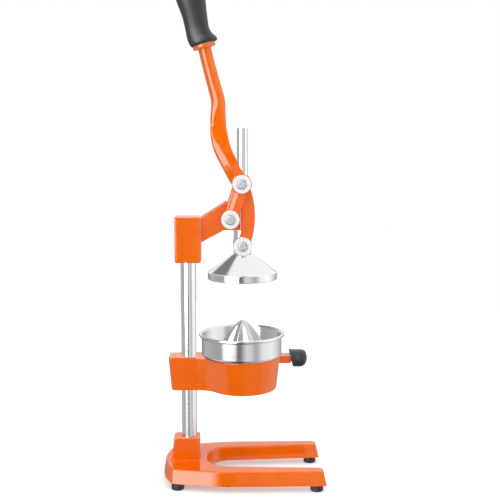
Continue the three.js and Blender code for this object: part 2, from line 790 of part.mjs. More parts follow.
// The two cap screws and discs of a pivot, one on each side
function capDisc(x, z, side, inner_y) {
  const outer_y = inner_y + cap_disc_thickness;
  const floor_y = outer_y - cap_recess_depth;
  const hole = screw_radius + bore_gap;
  return turnedCrosswise([
    [hole, inner_y], [cap_disc_radius, inner_y], [cap_disc_radius, outer_y - cap_chamfer],
    [cap_disc_radius - cap_chamfer, outer_y], [cap_recess_radius, outer_y], [cap_recess_radius, floor_y],
    [hole, floor_y], [hole, inner_y],
  ], x, z, side);
}

function capScrew(x, z, side, disc_inner_y, tip_y) {
  const seat_y = disc_inner_y + cap_disc_thickness - cap_recess_depth + seat_gap;
  const top_y = seat_y + screw_head_height;
  const body = turnedCrosswise([
    [0, tip_y], [screw_radius, tip_y], [screw_radius, seat_y], [screw_head_radius, seat_y],
    [screw_head_radius, top_y - screw_chamfer], [screw_head_radius - screw_chamfer, top_y], [0, top_y],
  ], x, z, side);
  const socket_radius = screw_socket_flats / 2 / Math.cos(Math.PI / 6);
  const deep = top_y - screw_socket_depth;
  const socket = turnedCrosswise([
    [0, deep], [socket_radius, deep], [socket_radius, top_y + overrun], [0, top_y + overrun],
  ], x, z, side, 6);
  return cut(body, socket);
}

function leverPin() {
  const pin = crosswise(pin_radius, pivot_x, pivot_z, -cheek_outer_y, cheek_outer_y);
  const threads = sides.map(([, side]) => {
    const ends = [side * (cheek_outer_y - pin_thread_depth), side * (cheek_outer_y + overrun)];
    return crosswise(screw_radius + bore_gap, pivot_x, pivot_z, Math.min(...ends), Math.max(...ends));
  });
  return cut(pin, ...threads);
}

// Links: curved plates outside the hub, each with an eye at either end
function linkStrip(from, to) {
  const along = new THREE.Vector2(upper_x - lower_x, upper_z - lower_z);
  const across = new THREE.Vector2(along.y, -along.x).normalize();
  const bow_radius = (along.length() ** 2 / 4 + link_bulge ** 2) / (2 * link_bulge);
  const half_angle = Math.asin(along.length() / 2 / bow_radius);
  const middle = new THREE.Vector2(lower_x + upper_x, lower_z + upper_z).multiplyScalar(0.5);
  const centre = middle.addScaledVector(across, link_bulge - bow_radius);
  const steps = 14;
  const edge = (radius, reverse) => {
    const points = [];
    for (let step = 0; step <= steps; step += 1) {
      const share = reverse ? 1 - step / steps : step / steps;
      const angle = Math.atan2(across.y, across.x) - half_angle + 2 * half_angle * share;
      points.push(new THREE.Vector2(Math.cos(angle), Math.sin(angle)).multiplyScalar(radius).add(centre));
    }
    return points;
  };
  const outline = [
    ...edge(bow_radius + link_width / 2, false), ...edge(bow_radius - link_width / 2, true),
  ];
  return plate(outline, from, to);
}

function ordered(side, inner, outer) {
  return side < 0 ? [-outer, -inner] : [inner, outer];
}

function link(side) {
  const [from, to] = ordered(side, link_inner_y, link_outer_y);
  const eye = pin_radius + bore_gap;
  const body = join(
    linkStrip(from, to),
    crosswise(link_eye_radius, upper_x, upper_z, from, to),
    crosswise(link_eye_radius, lower_x, lower_z, from, to),
  );
  return cut(
    body,
    crosswise(eye, upper_x, upper_z, from - overrun, to + overrun),
    crosswise(eye, lower_x, lower_z, from - overrun, to + overrun),
  );
}

// A flanged bush in a link's upper eye, and a plain sleeve in its lower eye
function upperBush(side) {
  const inner_y = link_inner_y - link_bush_flange - seat_gap;
  const hole = screw_radius + bore_gap;
  const flange_y = inner_y + link_bush_flange;
  return turnedCrosswise([
    [hole, inner_y], [link_bush_flange_radius, inner_y], [link_bush_flange_radius, flange_y],
    [pin_radius, flange_y], [pin_radius, link_outer_y - seat_gap],
    [hole, link_outer_y - seat_gap], [hole, inner_y],
  ], upper_x, upper_z, side);
}

const collar_boss_y = link_inner_y - bore_gap;

function lowerSleeve(side) {
  const hole = screw_radius + bore_gap;
  const inner_y = collar_boss_y + seat_gap;
  return turnedCrosswise([
    [hole, inner_y], [pin_radius, inner_y], [pin_radius, link_outer_y + bore_gap],
    [hole, link_outer_y + bore_gap], [hole, inner_y],
  ], lower_x, lower_z, side);
}

// Press collar, rod and bell
const collar_low_z = bell_top_z + seat_gap;
const collar_high_z = hub_bottom_z - collar_gap;
const collar_screw_z = (lower_z + collar_high_z) / 2;

function collar() {
  const body = turned([
    [0, collar_low_z], [collar_radius, collar_low_z], [collar_radius, collar_high_z - collar_chamfer],
    [collar_radius - collar_chamfer, collar_high_z], [0, collar_high_z],
  ], press_x, 0);
  const boss = crosswise(collar_boss_radius, lower_x, lower_z, -collar_boss_y, collar_boss_y);
  const cutters = [
    upright(rod_radius + bore_gap, press_x, 0, collar_low_z - overrun, collar_high_z + overrun),
    crosswise(screw_radius + bore_gap, lower_x, lower_z, -collar_boss_y - overrun, collar_boss_y + overrun),
    lengthwise(set_screw_radius + bore_gap, 0, collar_screw_z, press_x, press_x + collar_radius + overrun),
  ];
  return cut(join(body, boss), ...cutters);
}

function collarScrew() {
  const tip = press_x + rod_radius + bore_gap;
  const end = press_x + collar_radius - collar_screw_recess;
  const deep = end - set_screw_socket_depth;
  const socket = lengthwise(set_screw_socket, 0, collar_screw_z, deep, end + overrun, 6);
  return cut(lengthwise(set_screw_radius, 0, collar_screw_z, tip, end), socket);
}

function rod() {
  const bar = turned([
    [0, rod_bottom_z], [rod_radius, rod_bottom_z], [rod_radius, rod_top_z - rod_chamfer],
    [rod_radius - rod_chamfer, rod_top_z], [0, rod_top_z],
  ], press_x, 0);
  return cut(bar, upright(screw_radius + bore_gap, press_x, 0, rod_bottom_z - overrun,
    rod_bottom_z + bell_screw_depth + bore_gap, small_steps));
}

function bell() {
  const hole = screw_radius + bore_gap;
  const lip_inner = bell_lip_radius - bell_wall;
  return turned([
    [hole, bell_top_z - bell_wall], [bell_top_radius - bell_wall / 2, bell_top_z - bell_wall],
    [bell_cone_radius - bell_wall, bell_cone_foot_z - bell_wall / 2],
    [lip_inner, bell_cone_foot_z - bell_wall], [lip_inner, bell_lip_bottom_z],
    [bell_lip_radius, bell_lip_bottom_z], [bell_lip_radius, bell_cone_foot_z - bell_wall / 2],
    [bell_cone_radius, bell_cone_foot_z + bell_wall / 2],
    [bell_top_radius, bell_top_z], [hole, bell_top_z], [hole, bell_top_z - bell_wall],
  ], press_x, 0, fine_steps);
}

const bell_washer_z = bell_top_z - bell_wall - seat_gap - bell_washer_thickness;

function bellScrew() {
  const head_top = bell_washer_z - seat_gap;
  const head_low = head_top - screw_head_height;
  const tip = rod_bottom_z + bell_screw_depth;
  const body = turned([
    [0, head_low], [screw_head_radius, head_low], [screw_head_radius, head_top], [screw_radius, head_top],
    [screw_radius, tip], [0, tip],
  ], press_x, 0, small_steps);
  const deep = head_low + screw_socket_depth;
  const socket = upright(screw_socket_flats / 2, press_x, 0, head_low - overrun, deep, 6);
  return cut(body, socket);
}

// Lever: two cheeks that run together into a round bar, a flange and a tang for the grip
const arm_shares = [
  [0, 0], [0.15, 0.055], [0.33, 0.147], [0.52, 0.256], [0.615, 0.366],
  [0.635, 0.47], [0.625, 0.563], [0.672, 0.653],
];
const arm_width_shares = [1, 1, 1, 1, 1, 0.96, 0.86, 0.78];
const spread_shares = [1, 1, 0.98, 0.82, 0.56, 0.18, 0.02, 0];

function armPoint(index, spread_y) {
  const [back, up] = arm_shares[index];
  return new THREE.Vector3(upper_x - back * arm_setback, spread_y, upper_z + up * arm_rise);
}

// A ring of points with cut corners, square to a path in a plane of constant tilt
function chamferedRing(centre, tangent, half_width, half_thickness, chamfer) {
  const across = new THREE.Vector3(tangent.z, 0, -tangent.x).normalize();
  const w = half_width;
  const t = half_thickness;
  const c = Math.min(chamfer, t * chamfer_limit_share, w * chamfer_limit_share);
  const corners = [
    [w, -t + c], [w, t - c], [w - c, t], [-w + c, t], [-w, t - c], [-w, -t + c], [-w + c, -t], [w - c, -t],
  ];
  return corners.map(([a, b]) => centre.clone().addScaledVector(across, a).add(new THREE.Vector3(0, b, 0)));
}

function cheek(side) {
  const middle_y = side * (cheek_inner_y + cheek_outer_y) / 2;
  const places = spread_shares.map((share, index) => armPoint(index, middle_y * share));
  const route = new THREE.CatmullRomCurve3(places);
  const widths = new THREE.CatmullRomCurve3(arm_width_shares.map((share) => {
    return new THREE.Vector3(share * arm_width, 0, 0);
  }));
  const steps = 18;
  const rings = [];
  for (let step = 0; step <= steps; step += 1) {
    const t = step / steps;
    const half_width = widths.getPoint(t).x / 2;
    const tangent = route.getTangent(t);
    rings.push(chamferedRing(route.getPoint(t), tangent, half_width, cheek_thickness / 2, cheek_chamfer));
  }
  const [from, to] = ordered(side, cheek_inner_y, cheek_outer_y);
  const strap_tangent = new THREE.Vector3(upper_x - pivot_x, 0, upper_z - pivot_z).normalize();
  const strapRing = (x, z, share) => {
    const centre = new THREE.Vector3(x, middle_y, z);
    return chamferedRing(centre, strap_tangent, arm_width * share / 2, cheek_thickness / 2, cheek_chamfer);
  };
  const strap = skin([
    strapRing(pivot_x, pivot_z, strap_foot_share),
    strapRing(upper_x, upper_z, strap_head_share),
  ]);
  return join(
    skin(rings), strap,
    crosswise(cheek_boss_radius, upper_x, upper_z, from, to),
    crosswise(cap_disc_radius + bore_gap, pivot_x, pivot_z, from, to),
  );
}

const flange_lean = THREE.MathUtils.degToRad(flange_lean_deg);

// Set a piece that was made upright at the origin on the flange, in line with the bar
function onFlange(geometry) {
  return geometry.rotateY(-flange_lean).translate(upper_x - arm_setback, 0, upper_z + arm_rise);
}

function leverCasting() {
  const [bar_start, bar_knee, bar_middle] = [3, 2, 1].map((back) => armPoint(arm_shares.length - back, 0));
  const bar_end = new THREE.Vector3(upper_x - arm_setback, 0, upper_z + arm_rise);
  const half_way = bar_middle.clone().lerp(bar_end, 0.5);
  const route = new THREE.CatmullRomCurve3([bar_start, bar_knee, bar_middle, half_way, bar_end]);
  const steps = 10;
  const rings = [];
  for (let step = 0; step <= steps; step += 1) {
    const t = step / steps;
    const tangent = route.getTangent(t);
    const across = new THREE.Vector3(tangent.z, 0, -tangent.x);
    const radius = THREE.MathUtils.lerp(bar_foot_radius, bar_top_radius, t);
    const ring = [];
    for (let turn = 0; turn < small_steps; turn += 1) {
      const angle = 2 * Math.PI * turn / small_steps;
      ring.push(route.getPoint(t).addScaledVector(across, radius * Math.cos(angle))
        .add(new THREE.Vector3(0, radius * Math.sin(angle), 0)));
    }
    rings.push(ring);
  }
  const flange = onFlange(upright(flange_radius, 0, 0, -flange_thickness / 2, flange_thickness / 2));
  const tang = onFlange(upright(tang_radius, 0, 0, 0, grip_end_gap + grip_bore_depth - overrun, small_steps));
  const body = join(skin(rings), flange, tang, cheek(-1), cheek(1));
  const reach = cheek_outer_y + overrun;
  return cut(
    body,
    crosswise(pin_radius + bore_gap, pivot_x, pivot_z, -reach, reach),
    crosswise(screw_radius + bore_gap, upper_x, upper_z, -reach, reach, small_steps),
  );
}

// Grip: a straight back, a waist at the front, and a guard that flares at its foot
function leverGrip() {
  const along_shares = [0, 0.02, 0.05, 0.085, 0.125, 0.17, 0.23, 0.33, 0.43, 0.52, 0.62, 0.78, 0.9, 0.97, 1];
  const front_shares = [0.87, 1, 0.94, 0.78, 0.69, 0.67, 0.72, 0.81, 0.93, 0.98, 1.01, 0.98, 0.86, 0.64, 0.38];
  const back_shares = [0.84, 0.91, 0.96, 0.98, 0.98, 0.95, 0.93, 0.91, 0.96, 1.01, 1.03, 0.99, 0.86, 0.64, 0.38];
  const side_shares = [0.76, 0.84, 0.82, 0.76, 0.73, 0.72, 0.74, 0.81, 0.87, 0.91, 0.93, 0.89, 0.78, 0.59, 0.35];
  const rings = along_shares.map((along, index) => {
    const ring = [];
    for (let step = 0; step < round_steps; step += 1) {
      const angle = 2 * Math.PI * step / round_steps;
      const reach = Math.cos(angle) > 0 ? front_shares[index] : back_shares[index];
      ring.push(new THREE.Vector3(grip_radius * reach * Math.cos(angle),
        grip_radius * side_shares[index] * Math.sin(angle), grip_end_gap + along * grip_length));
    }
    return ring;
  });
  const bore_top = grip_end_gap + grip_bore_depth;
  const bore = upright(tang_radius + bore_gap, 0, 0, grip_end_gap - overrun, bore_top, small_steps);
  return onFlange(cut(skin(rings), bore));
}

// Assembly: the stand
add('base_casting', baseCasting(), orange_enamel);
feet().forEach(([place, x, y]) => {
  add(`foot_${place}`, foot(x, y), black_rubber);
  add(`foot_screw_${place}`, footScrew(x, y), zinc_steel);
});
add('post', post(), bright_steel);
add('post_washer', washer(post_washer_radius, post_screw_radius + bore_gap, post_x, post_washer_z,
  post_washer_thickness), zinc_steel);
add('post_screw', postScrew(), zinc_steel);
add('bracket_casting', bracketCasting(), orange_enamel);
add('bracket_set_screw', setScrew(bracket_screw_z), zinc_steel);
add('bracket_grip', bracketGrip(), grey_grip);
add('head_casting', headCasting(), orange_enamel);
add('head_set_screw', setScrew(head_screw_z), zinc_steel);
add('guide_bush_lower', bush(hub_bottom_z, lower_bush_length), bronze);
add('guide_bush_upper', bush(hub_top_z - upper_bush_length, upper_bush_length), bronze);
add('lever_pin', leverPin(), brushed_steel);

// Assembly: bowl, funnel, strainer and reamer
add('juice_bowl', bowl(), bright_steel);
add('juice_funnel', funnel(), bright_steel);
add('strainer_plate', strainer(), brushed_steel);
add('reamer_cone', reamer(), brushed_steel);

// Assembly: press rod with its collar and bell
add('press_collar', collar(), bright_steel);
add('collar_set_screw', collarScrew(), zinc_steel);
add('press_rod', rod(), bright_steel);
add('press_bell', bell(), bright_steel);
add('bell_washer', washer(bell_washer_radius, screw_radius + bore_gap, press_x, bell_washer_z,
  bell_washer_thickness), zinc_steel);
add('bell_screw', bellScrew(), zinc_steel);

// Assembly: lever, links and the discs and screws of the three pivots
add('lever_casting', leverCasting(), orange_enamel);
add('lever_grip', leverGrip(), grey_grip);
sides.forEach(([place, side]) => {
  const cheek_disc_y = cheek_outer_y + seat_gap;
  const link_disc_y = link_outer_y + 2 * bore_gap;
  add(`link_${place}`, link(side), orange_enamel);
  add(`link_bush_${place}`, upperBush(side), bronze);
  add(`collar_sleeve_${place}`, lowerSleeve(side), bronze);
  add(`lever_disc_${place}`, capDisc(pivot_x, pivot_z, side, cheek_disc_y), white_nylon);
  add(`lever_screw_${place}`, capScrew(pivot_x, pivot_z, side, cheek_disc_y,
    cheek_outer_y - pin_thread_depth + seat_gap), zinc_steel);
  add(`upper_disc_${place}`, capDisc(upper_x, upper_z, side, cheek_disc_y), white_nylon);
  add(`upper_screw_${place}`, capScrew(upper_x, upper_z, side, cheek_disc_y, cheek_inner_y), zinc_steel);
  add(`lower_disc_${place}`, capDisc(lower_x, lower_z, side, link_disc_y), white_nylon);
  add(`lower_screw_${place}`, capScrew(lower_x, lower_z, side, link_disc_y,
    rod_radius + bore_gap + seat_gap), zinc_steel);
});

export default press;
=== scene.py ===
"""A lever citrus juice press in orange powder coat and polished steel, on a plain pale floor.

The script follows the press as it is put together: the studio, the base with its feet and post, the ring
bracket and bowl, the head, the press rod with its bell, and the lever with its links and pivots.
"""

import json
import math

import bmesh
import bpy
from mathutils import Matrix, Vector

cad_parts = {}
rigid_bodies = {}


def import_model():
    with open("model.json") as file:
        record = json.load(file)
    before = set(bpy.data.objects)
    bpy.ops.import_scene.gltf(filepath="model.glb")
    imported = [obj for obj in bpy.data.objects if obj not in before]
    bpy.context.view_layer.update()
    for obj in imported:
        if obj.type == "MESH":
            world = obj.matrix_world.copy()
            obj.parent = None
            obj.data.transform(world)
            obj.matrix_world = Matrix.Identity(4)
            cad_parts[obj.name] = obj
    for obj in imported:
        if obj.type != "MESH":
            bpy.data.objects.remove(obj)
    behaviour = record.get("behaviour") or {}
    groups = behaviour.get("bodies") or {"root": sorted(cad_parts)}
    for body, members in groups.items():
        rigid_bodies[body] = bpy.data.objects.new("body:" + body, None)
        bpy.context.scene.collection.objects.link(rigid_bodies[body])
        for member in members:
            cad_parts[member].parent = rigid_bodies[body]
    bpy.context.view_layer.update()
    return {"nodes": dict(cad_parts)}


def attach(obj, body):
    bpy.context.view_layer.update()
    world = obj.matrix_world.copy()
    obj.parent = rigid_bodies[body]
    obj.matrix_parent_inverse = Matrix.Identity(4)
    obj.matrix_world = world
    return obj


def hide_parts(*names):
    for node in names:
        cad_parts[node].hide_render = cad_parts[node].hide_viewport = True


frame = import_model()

mm = 0.001

# The studio: a plain pale floor, a white surround with soft grey bands for the steel to mirror, and
# three large soft lamps. The bands, and a white canopy high behind, show in reflections only.
camera_distance = 1150 * mm
camera_height = 449 * mm
camera_pitch = math.radians(7.1)
camera_turn = math.radians(1.5)
camera_axis_x = 8.8 * mm
focal_pixels = 890
image_pixels = 500

camera_data = bpy.data.cameras.new("photo_camera")
camera_data.sensor_width = 36
camera_data.lens = camera_data.sensor_width * focal_pixels / image_pixels
camera = bpy.data.objects.new("photo_camera", camera_data)
camera.location = (
    camera_axis_x - camera_distance * math.sin(camera_turn),
    -camera_distance * math.cos(camera_turn),
    camera_height,
)
camera.rotation_euler = (math.radians(90) - camera_pitch, 0, -camera_turn)
bpy.context.scene.collection.objects.link(camera)
bpy.context.scene.camera = camera
bpy.context.scene.view_settings.view_transform = "Standard"


def linear(colour):
    """The linear values of an sRGB hex colour."""
    parts = [int(colour[i : i + 2], 16) / 255 for i in (1, 3, 5)]
    return (*[v / 12.92 if v <= 0.04045 else ((v + 0.055) / 1.055) ** 2.4 for v in parts], 1)


def add_node(tree, kind, inputs=(), **settings):
    """A node with its settings, each input a value, another node's socket or a node's first output."""
    node = tree.nodes.new(kind)
    for name, value in settings.items():
        setattr(node, name, value)
    for name, value in dict(inputs).items():
        if isinstance(value, bpy.types.Node):
            value = value.outputs[0]
        if isinstance(value, bpy.types.NodeSocket):
            tree.links.new(value, node.inputs[name])
        else:
            node.inputs[name].default_value = value
    return node


# What the metal and the gloss mirror, zone by zone upwards. Each zone has the way that it lies in, how
# nearly a ray points that way where the zone fades in, what it is drawn along, and its brightness there.
# The azimuth is in degrees from the front, negative to the left, and the slope is sideways over up. The
# zones near the level share their bands at the left, with one strong light, and at the right.
azimuth_span, slope_span = 180, 2
left_bands = [(-180, 0.3), (-150, 0.33), (-126, 0.6), (-100, 0.5), (-62, 0.44), (-54, 8), (-18, 8)]
right_bands = [(26, 0.75), (38, 0.5), (46, 0.6), (60, 1.2), (95, 1.4), (120, 0.9), (145, 0.5), (180, 0.4)]
mirrored_zones = [
    ((0, 0, 1), (-3, -2), azimuth_span, [
        (-180, 0.1), (-120, 0.1), (-105, 0.8), (-62, 0.8), (-45, 0.08), (5, 0.08), (15, 0.35), (60, 0.42),
        (75, 0.8), (110, 1), (140, 0.6), (180, 0.3),
    ]),
    ((0, 0, 1), (-0.38, -0.32), azimuth_span, [
        (-180, 0.3), (-150, 0.33), (-126, 0.6), (-100, 0.53), (-60, 0.46), (-54, 1.1), (-45, 1.3),
        (-30, 1.2), (-19, 0.9), (-13, 0.24), (-5, 0.24), (-2, 0.34), (3, 0.52), (13, 0.92), (26, 0.85),
        (38, 0.56), (46, 0.6), (60, 1.05), (95, 1.18), (120, 0.9), (145, 0.5), (180, 0.4),
    ]),
    ((0, 0, 1), (-0.216, -0.148), azimuth_span, [
        *left_bands, (-13, 0.1), (2.2, 0.1), (2.9, 0.7), (13, 0.9), *right_bands,
    ]),
    ((0, 0, 1), (-0.137, -0.125), azimuth_span, [
        *left_bands, (-13, 0.1), (-1.75, 0.08), (-1.5, 0.75), (13, 0.95), *right_bands,
    ]),
    ((0, 0, 1), (0.03, 0.1), azimuth_span, [*left_bands, (-13, 0.06), (4, 0.06), (10, 0.6), *right_bands]),
    ((0, 0.6, 0.8), (0.62, 0.7), azimuth_span, [(-180, 1.2), (180, 1.2)]),
    ((0, 0.35, 0.94), (0.6, 0.68), slope_span, [
        (-2, 0.5), (-0.98, 0.5), (-0.9, 0.26), (-0.46, 0.26), (-0.4, 1.2), (1.25, 1.2), (1.4, 0.55),
        (2, 0.55),
    ]),
]
# What lights the matt surfaces: brighter from the front, so that the sides model the forms
ambient_bands = [
    (-180, 0.65), (-110, 0.34), (-60, 0.62), (-20, 0.85), (20, 0.88), (60, 0.72), (110, 0.6), (180, 0.65),
]

world = bpy.data.worlds.new("white_surround")
bpy.context.scene.world = world
world.use_nodes = True
tree = world.node_tree
tree.nodes.clear()
direction = add_node(tree, "ShaderNodeTexCoord").outputs["Generated"]
parts = add_node(tree, "ShaderNodeSeparateXYZ", {0: direction})
forward = add_node(tree, "ShaderNodeMath", {0: parts.outputs["Y"], 1: -1.0}, operation="MULTIPLY")
azimuth = add_node(tree, "ShaderNodeMath", {0: parts.outputs["X"], 1: forward}, operation="ARCTAN2")
degrees = add_node(tree, "ShaderNodeMath", {0: azimuth}, operation="DEGREES")
slope = add_node(
    tree, "ShaderNodeMath", {0: parts.outputs["X"], 1: parts.outputs["Z"]}, operation="DIVIDE",
)
measures = {azimuth_span: degrees.outputs[0], slope_span: slope.outputs[0]}


def band_colours(span, bands):
    """Bands of brightness along the azimuth or the slope, from minus the span to plus the span."""
    share = add_node(
        tree, "ShaderNodeMapRange", {"Value": measures[span], "From Min": -span, "From Max": span},
    )
    ramp = add_node(tree, "ShaderNodeValToRGB", {"Fac": share})
    stops = ramp.color_ramp.elements
    for index, (measure, brightness) in enumerate(bands):
        place = (measure + span) / (2 * span)
        stop = stops[index] if index < 2 else stops.new(place)
        stop.position = place
        stop.color = (brightness, brightness, brightness, 1)
    return ramp.outputs["Color"]


mirrored = linear("#FFFFFF")
for way, (start, full), span, bands in mirrored_zones:
    nearness = add_node(tree, "ShaderNodeVectorMath", {0: direction, 1: way}, operation="DOT_PRODUCT")
    share = add_node(tree, "ShaderNodeMapRange", {
        "Value": nearness.outputs["Value"], "From Min": start, "From Max": full,
    })
    mixed = add_node(tree, "ShaderNodeMix", {
        "Factor": share, 6: mirrored, 7: band_colours(span, bands),
    }, data_type="RGBA")
    mirrored = mixed.outputs[2]
rays = add_node(tree, "ShaderNodeLightPath").outputs
banded = add_node(tree, "ShaderNodeBackground", {"Color": mirrored, "Strength": 1.0})
ambient_colour = band_colours(azimuth_span, ambient_bands)
ambient = add_node(tree, "ShaderNodeBackground", {"Color": ambient_colour, "Strength": 1.0})
white = add_node(tree, "ShaderNodeBackground", {"Color": linear("#FFFFFF"), "Strength": 1.0})
seen = add_node(tree, "ShaderNodeMath", {
    0: rays["Is Camera Ray"], 1: rays["Is Transmission Ray"],
}, operation="MAXIMUM")
lighting = add_node(tree, "ShaderNodeMixShader", {0: rays["Is Glossy Ray"], 1: ambient, 2: banded})
surround = add_node(tree, "ShaderNodeMixShader", {0: seen, 1: lighting, 2: white})
add_node(tree, "ShaderNodeOutputWorld", {"Surface": surround})

# The paper's glow rises with the distance from the press
floor_radius = 1300 * mm
lift_start, lift_end = 250 * mm, 700 * mm
near_lift, far_lift = 0.38, 0.65

floor_mesh = bpy.data.meshes.new("floor")
shape = bmesh.new()
bmesh.ops.create_circle(shape, cap_ends=True, segments=96, radius=floor_radius)
shape.to_mesh(floor_mesh)
shape.free()
floor = bpy.data.objects.new("floor", floor_mesh)
bpy.context.scene.collection.objects.link(floor)
paper = bpy.data.materials.new("white_paper")
paper.use_nodes = True
tree = paper.node_tree
tree.nodes.clear()
rays = add_node(tree, "ShaderNodeLightPath").outputs
seen = add_node(
    tree, "ShaderNodeMath", {0: rays["Is Camera Ray"], 1: rays["Is Glossy Ray"]}, operation="MAXIMUM",
)
seen = add_node(tree, "ShaderNodeMath", {0: seen, 1: rays["Is Transmission Ray"]}, operation="MAXIMUM")
coords = add_node(tree, "ShaderNodeTexCoord").outputs["Object"]
distance = add_node(tree, "ShaderNodeVectorMath", {0: coords}, operation="LENGTH")
rise = add_node(tree, "ShaderNodeMapRange", {
    "Value": distance.outputs["Value"], "From Min": lift_start, "From Max": lift_end, "To Min": near_lift,
    "To Max": far_lift,
})
lift = add_node(tree, "ShaderNodeMath", {0: seen, 1: rise}, operation="MULTIPLY")
paper_colour = add_node(
    tree, "ShaderNodeMix", {"Factor": seen, 6: linear("#E6E6E8"), 7: linear("#E2E8E9")}, data_type="RGBA",
)
matt = add_node(tree, "ShaderNodeBsdfDiffuse", {"Color": paper_colour.outputs[2]})
glow = add_node(tree, "ShaderNodeEmission", {"Color": linear("#FCFFFF"), "Strength": lift})
both = add_node(tree, "ShaderNodeAddShader", {0: matt, 1: glow})
add_node(tree, "ShaderNodeOutputMaterial", {"Surface": both})
floor_mesh.materials.append(paper)
floor.visible_glossy = False

# Each lamp: its place, its width and height, and its power. All three point at the press.
lamp_aim = Vector((0, 0, 0.3))
soft_lamps = [
    ("left_lamp", (-1.3, -1.2, 1.5), (1.0, 1.2), 11),
    ("right_lamp", (1.4, -0.9, 1.2), (0.8, 1.2), 6),
    ("top_lamp", (0.1, 0.1, 2.0), (1.4, 1.4), 8),
]
for name, place, (width, height), power in soft_lamps:
    lamp_data = bpy.data.lights.new(name, "AREA")
    lamp_data.shape = "RECTANGLE"
    lamp_data.size = width
    lamp_data.size_y = height
    lamp_data.energy = power
    lamp = bpy.data.objects.new(name, lamp_data)
    lamp.location = place
    lamp.rotation_euler = (lamp_aim - Vector(place)).to_track_quat("-Z", "Y").to_euler()
    lamp.visible_glossy = False
    bpy.context.scene.collection.objects.link(lamp)


# The base: one iron casting with two legs, a rounded nose and a socket for the post, powder coated in a
# glossy orange. Its edges are eased by the mould, and its bores are drilled after casting.
post_x = -71.6
rod_x = -1
base_low_z = 9
base_top_z = 27.5
base_draft = 2
base_edge = 2.5
base_end_x = 105.6
base_half_width = 62
leg_end_draft = 3.5
nose_corner_x, nose_half_width = -92.6, 49
side_bend_x, side_bend_radius = -30, 260
gap_front_half, gap_rear_half, gap_rear_x = 41, 32, -46
leg_corner_radius, gap_corner_radius = 3, 31
socket_height, socket_lean = 29.5, 2.6
socket_back, socket_front, socket_width = 20.8, 14, 30
socket_top_z, socket_floor_z = base_top_z + socket_height, 16.75
base_recess_radius, base_recess_top_z = 13, 12
post_radius, post_screw_radius = 10, 5
foot_screw_radius, foot_screw_tip_z = 2, 16.2
# Pieces that rest on one another are a gap apart, a bore's radius is larger than its piece's by the fit,
# and a cutter reaches out of the piece by the overrun
gap, fit, overrun = 0.25, 0.3, 2


def soft_corners(corners, steps=8, closed=True):
    """An outline whose corners, each an x, y and radius, are rounded with arcs."""
    outline = []
    for index, (x, y, radius) in enumerate(corners):
        corner = Vector((x, y))
        open_end = not closed and index in (0, len(corners) - 1)
        if open_end or not radius:
            outline.append(corner)
            continue
        back = (Vector(corners[index - 1][:2]) - corner).normalized()
        ahead = (Vector(corners[(index + 1) % len(corners)][:2]) - corner).normalized()
        half = back.angle(ahead) / 2
        centre = corner + (back + ahead).normalized() * radius / math.sin(half)
        start = corner + back * radius / math.tan(half) - centre
        end = corner + ahead * radius / math.tan(half) - centre
        turn = math.atan2(start.x * end.y - start.y * end.x, start.dot(end))
        for step in range(steps + 1):
            angle = turn * step / steps
            cos, sin = math.cos(angle), math.sin(angle)
            outline.append(centre + Vector((start.x * cos - start.y * sin, start.x * sin + start.y * cos)))
    return outline


def loft(rings):
    """The points and faces of a closed solid through rings that have the same number of points."""
    count = len(rings[0])
    points = [Vector(point) for ring in rings for point in ring]
    last = len(points) - count
    faces = [tuple(range(count - 1, -1, -1)), tuple(range(last, len(points)))]
    for low in range(0, last, count):
        for i in range(count):
            j = (i + 1) % count
            faces.append((low + i, low + j, low + count + j, low + count + i))
    return points, faces


def at_height(outline, z):
    """An outline as a ring of points at one height."""
    return [(x, y, z) for x, y in outline]


def round_bar(start, end, radius, steps):
    """The points and faces of a round bar between two points."""
    start, end = Vector(start), Vector(end)
    turn = (end - start).to_track_quat("Z", "Y")
    spokes = [Vector((math.cos(a), math.sin(a), 0)) for a in (math.tau * i / steps for i in range(steps))]
    return loft([[centre + turn @ spoke * radius for spoke in spokes] for centre in (start, end)])


def upright(x, low, high, radius, steps=64):
    """A round bar that stands on the middle plane."""
    return round_bar((x, 0, low), (x, 0, high), radius, steps)


def new_piece(name, shells, material):
    """A piece made of closed shells whose points are in millimetres, its faces turned outwards."""
    points, faces = [], []
    for shell_points, shell_faces in shells:
        start = len(points)
        points += [point * mm for point in shell_points]
        faces += [[start + i for i in face] for face in shell_faces]
    mesh = bpy.data.meshes.new(name)
    mesh.from_pydata(points, [], faces)
    shape = bmesh.new()
    shape.from_mesh(mesh)
    bmesh.ops.remove_doubles(shape, verts=shape.verts, dist=0.0005 * mm)
    bmesh.ops.recalc_face_normals(shape, faces=shape.faces)
    shape.to_mesh(mesh)
    shape.free()
    mesh.materials.append(material)
    piece = bpy.data.objects.new(name, mesh)
    bpy.context.scene.collection.objects.link(piece)
    return piece


def settle(piece):
    """Turn a piece's modifiers into its mesh, smooth between its sharp edges and even on its flats."""
    sharp_from = math.radians(32)
    for _ in range(2):
        graph = bpy.context.evaluated_depsgraph_get()
        piece.data = bpy.data.meshes.new_from_object(piece.evaluated_get(graph))
        piece.modifiers.clear()
        if "custom_normal" not in piece.data.attributes:
            piece.data.shade_smooth()
            piece.data.set_sharp_from_angle(angle=sharp_from)
            piece.modifiers.new("evened", "WEIGHTED_NORMAL").keep_sharp = True
    return piece


def combine(piece, tools, operation):
    """Join other pieces to a piece, or cut them out of it, and use them up."""
    for tool in tools:
        if "custom_normal" in tool.data.attributes:
            tool.data.attributes.remove(tool.data.attributes["custom_normal"])
        step = piece.modifiers.new("step", "BOOLEAN")
        step.object = tool
        step.operation = operation
        step.solver = "MANIFOLD"
    if "custom_normal" in piece.data.attributes:
        piece.data.attributes.remove(piece.data.attributes["custom_normal"])
    settle(piece)
    for tool in tools:
        bpy.data.objects.remove(tool)
    return piece


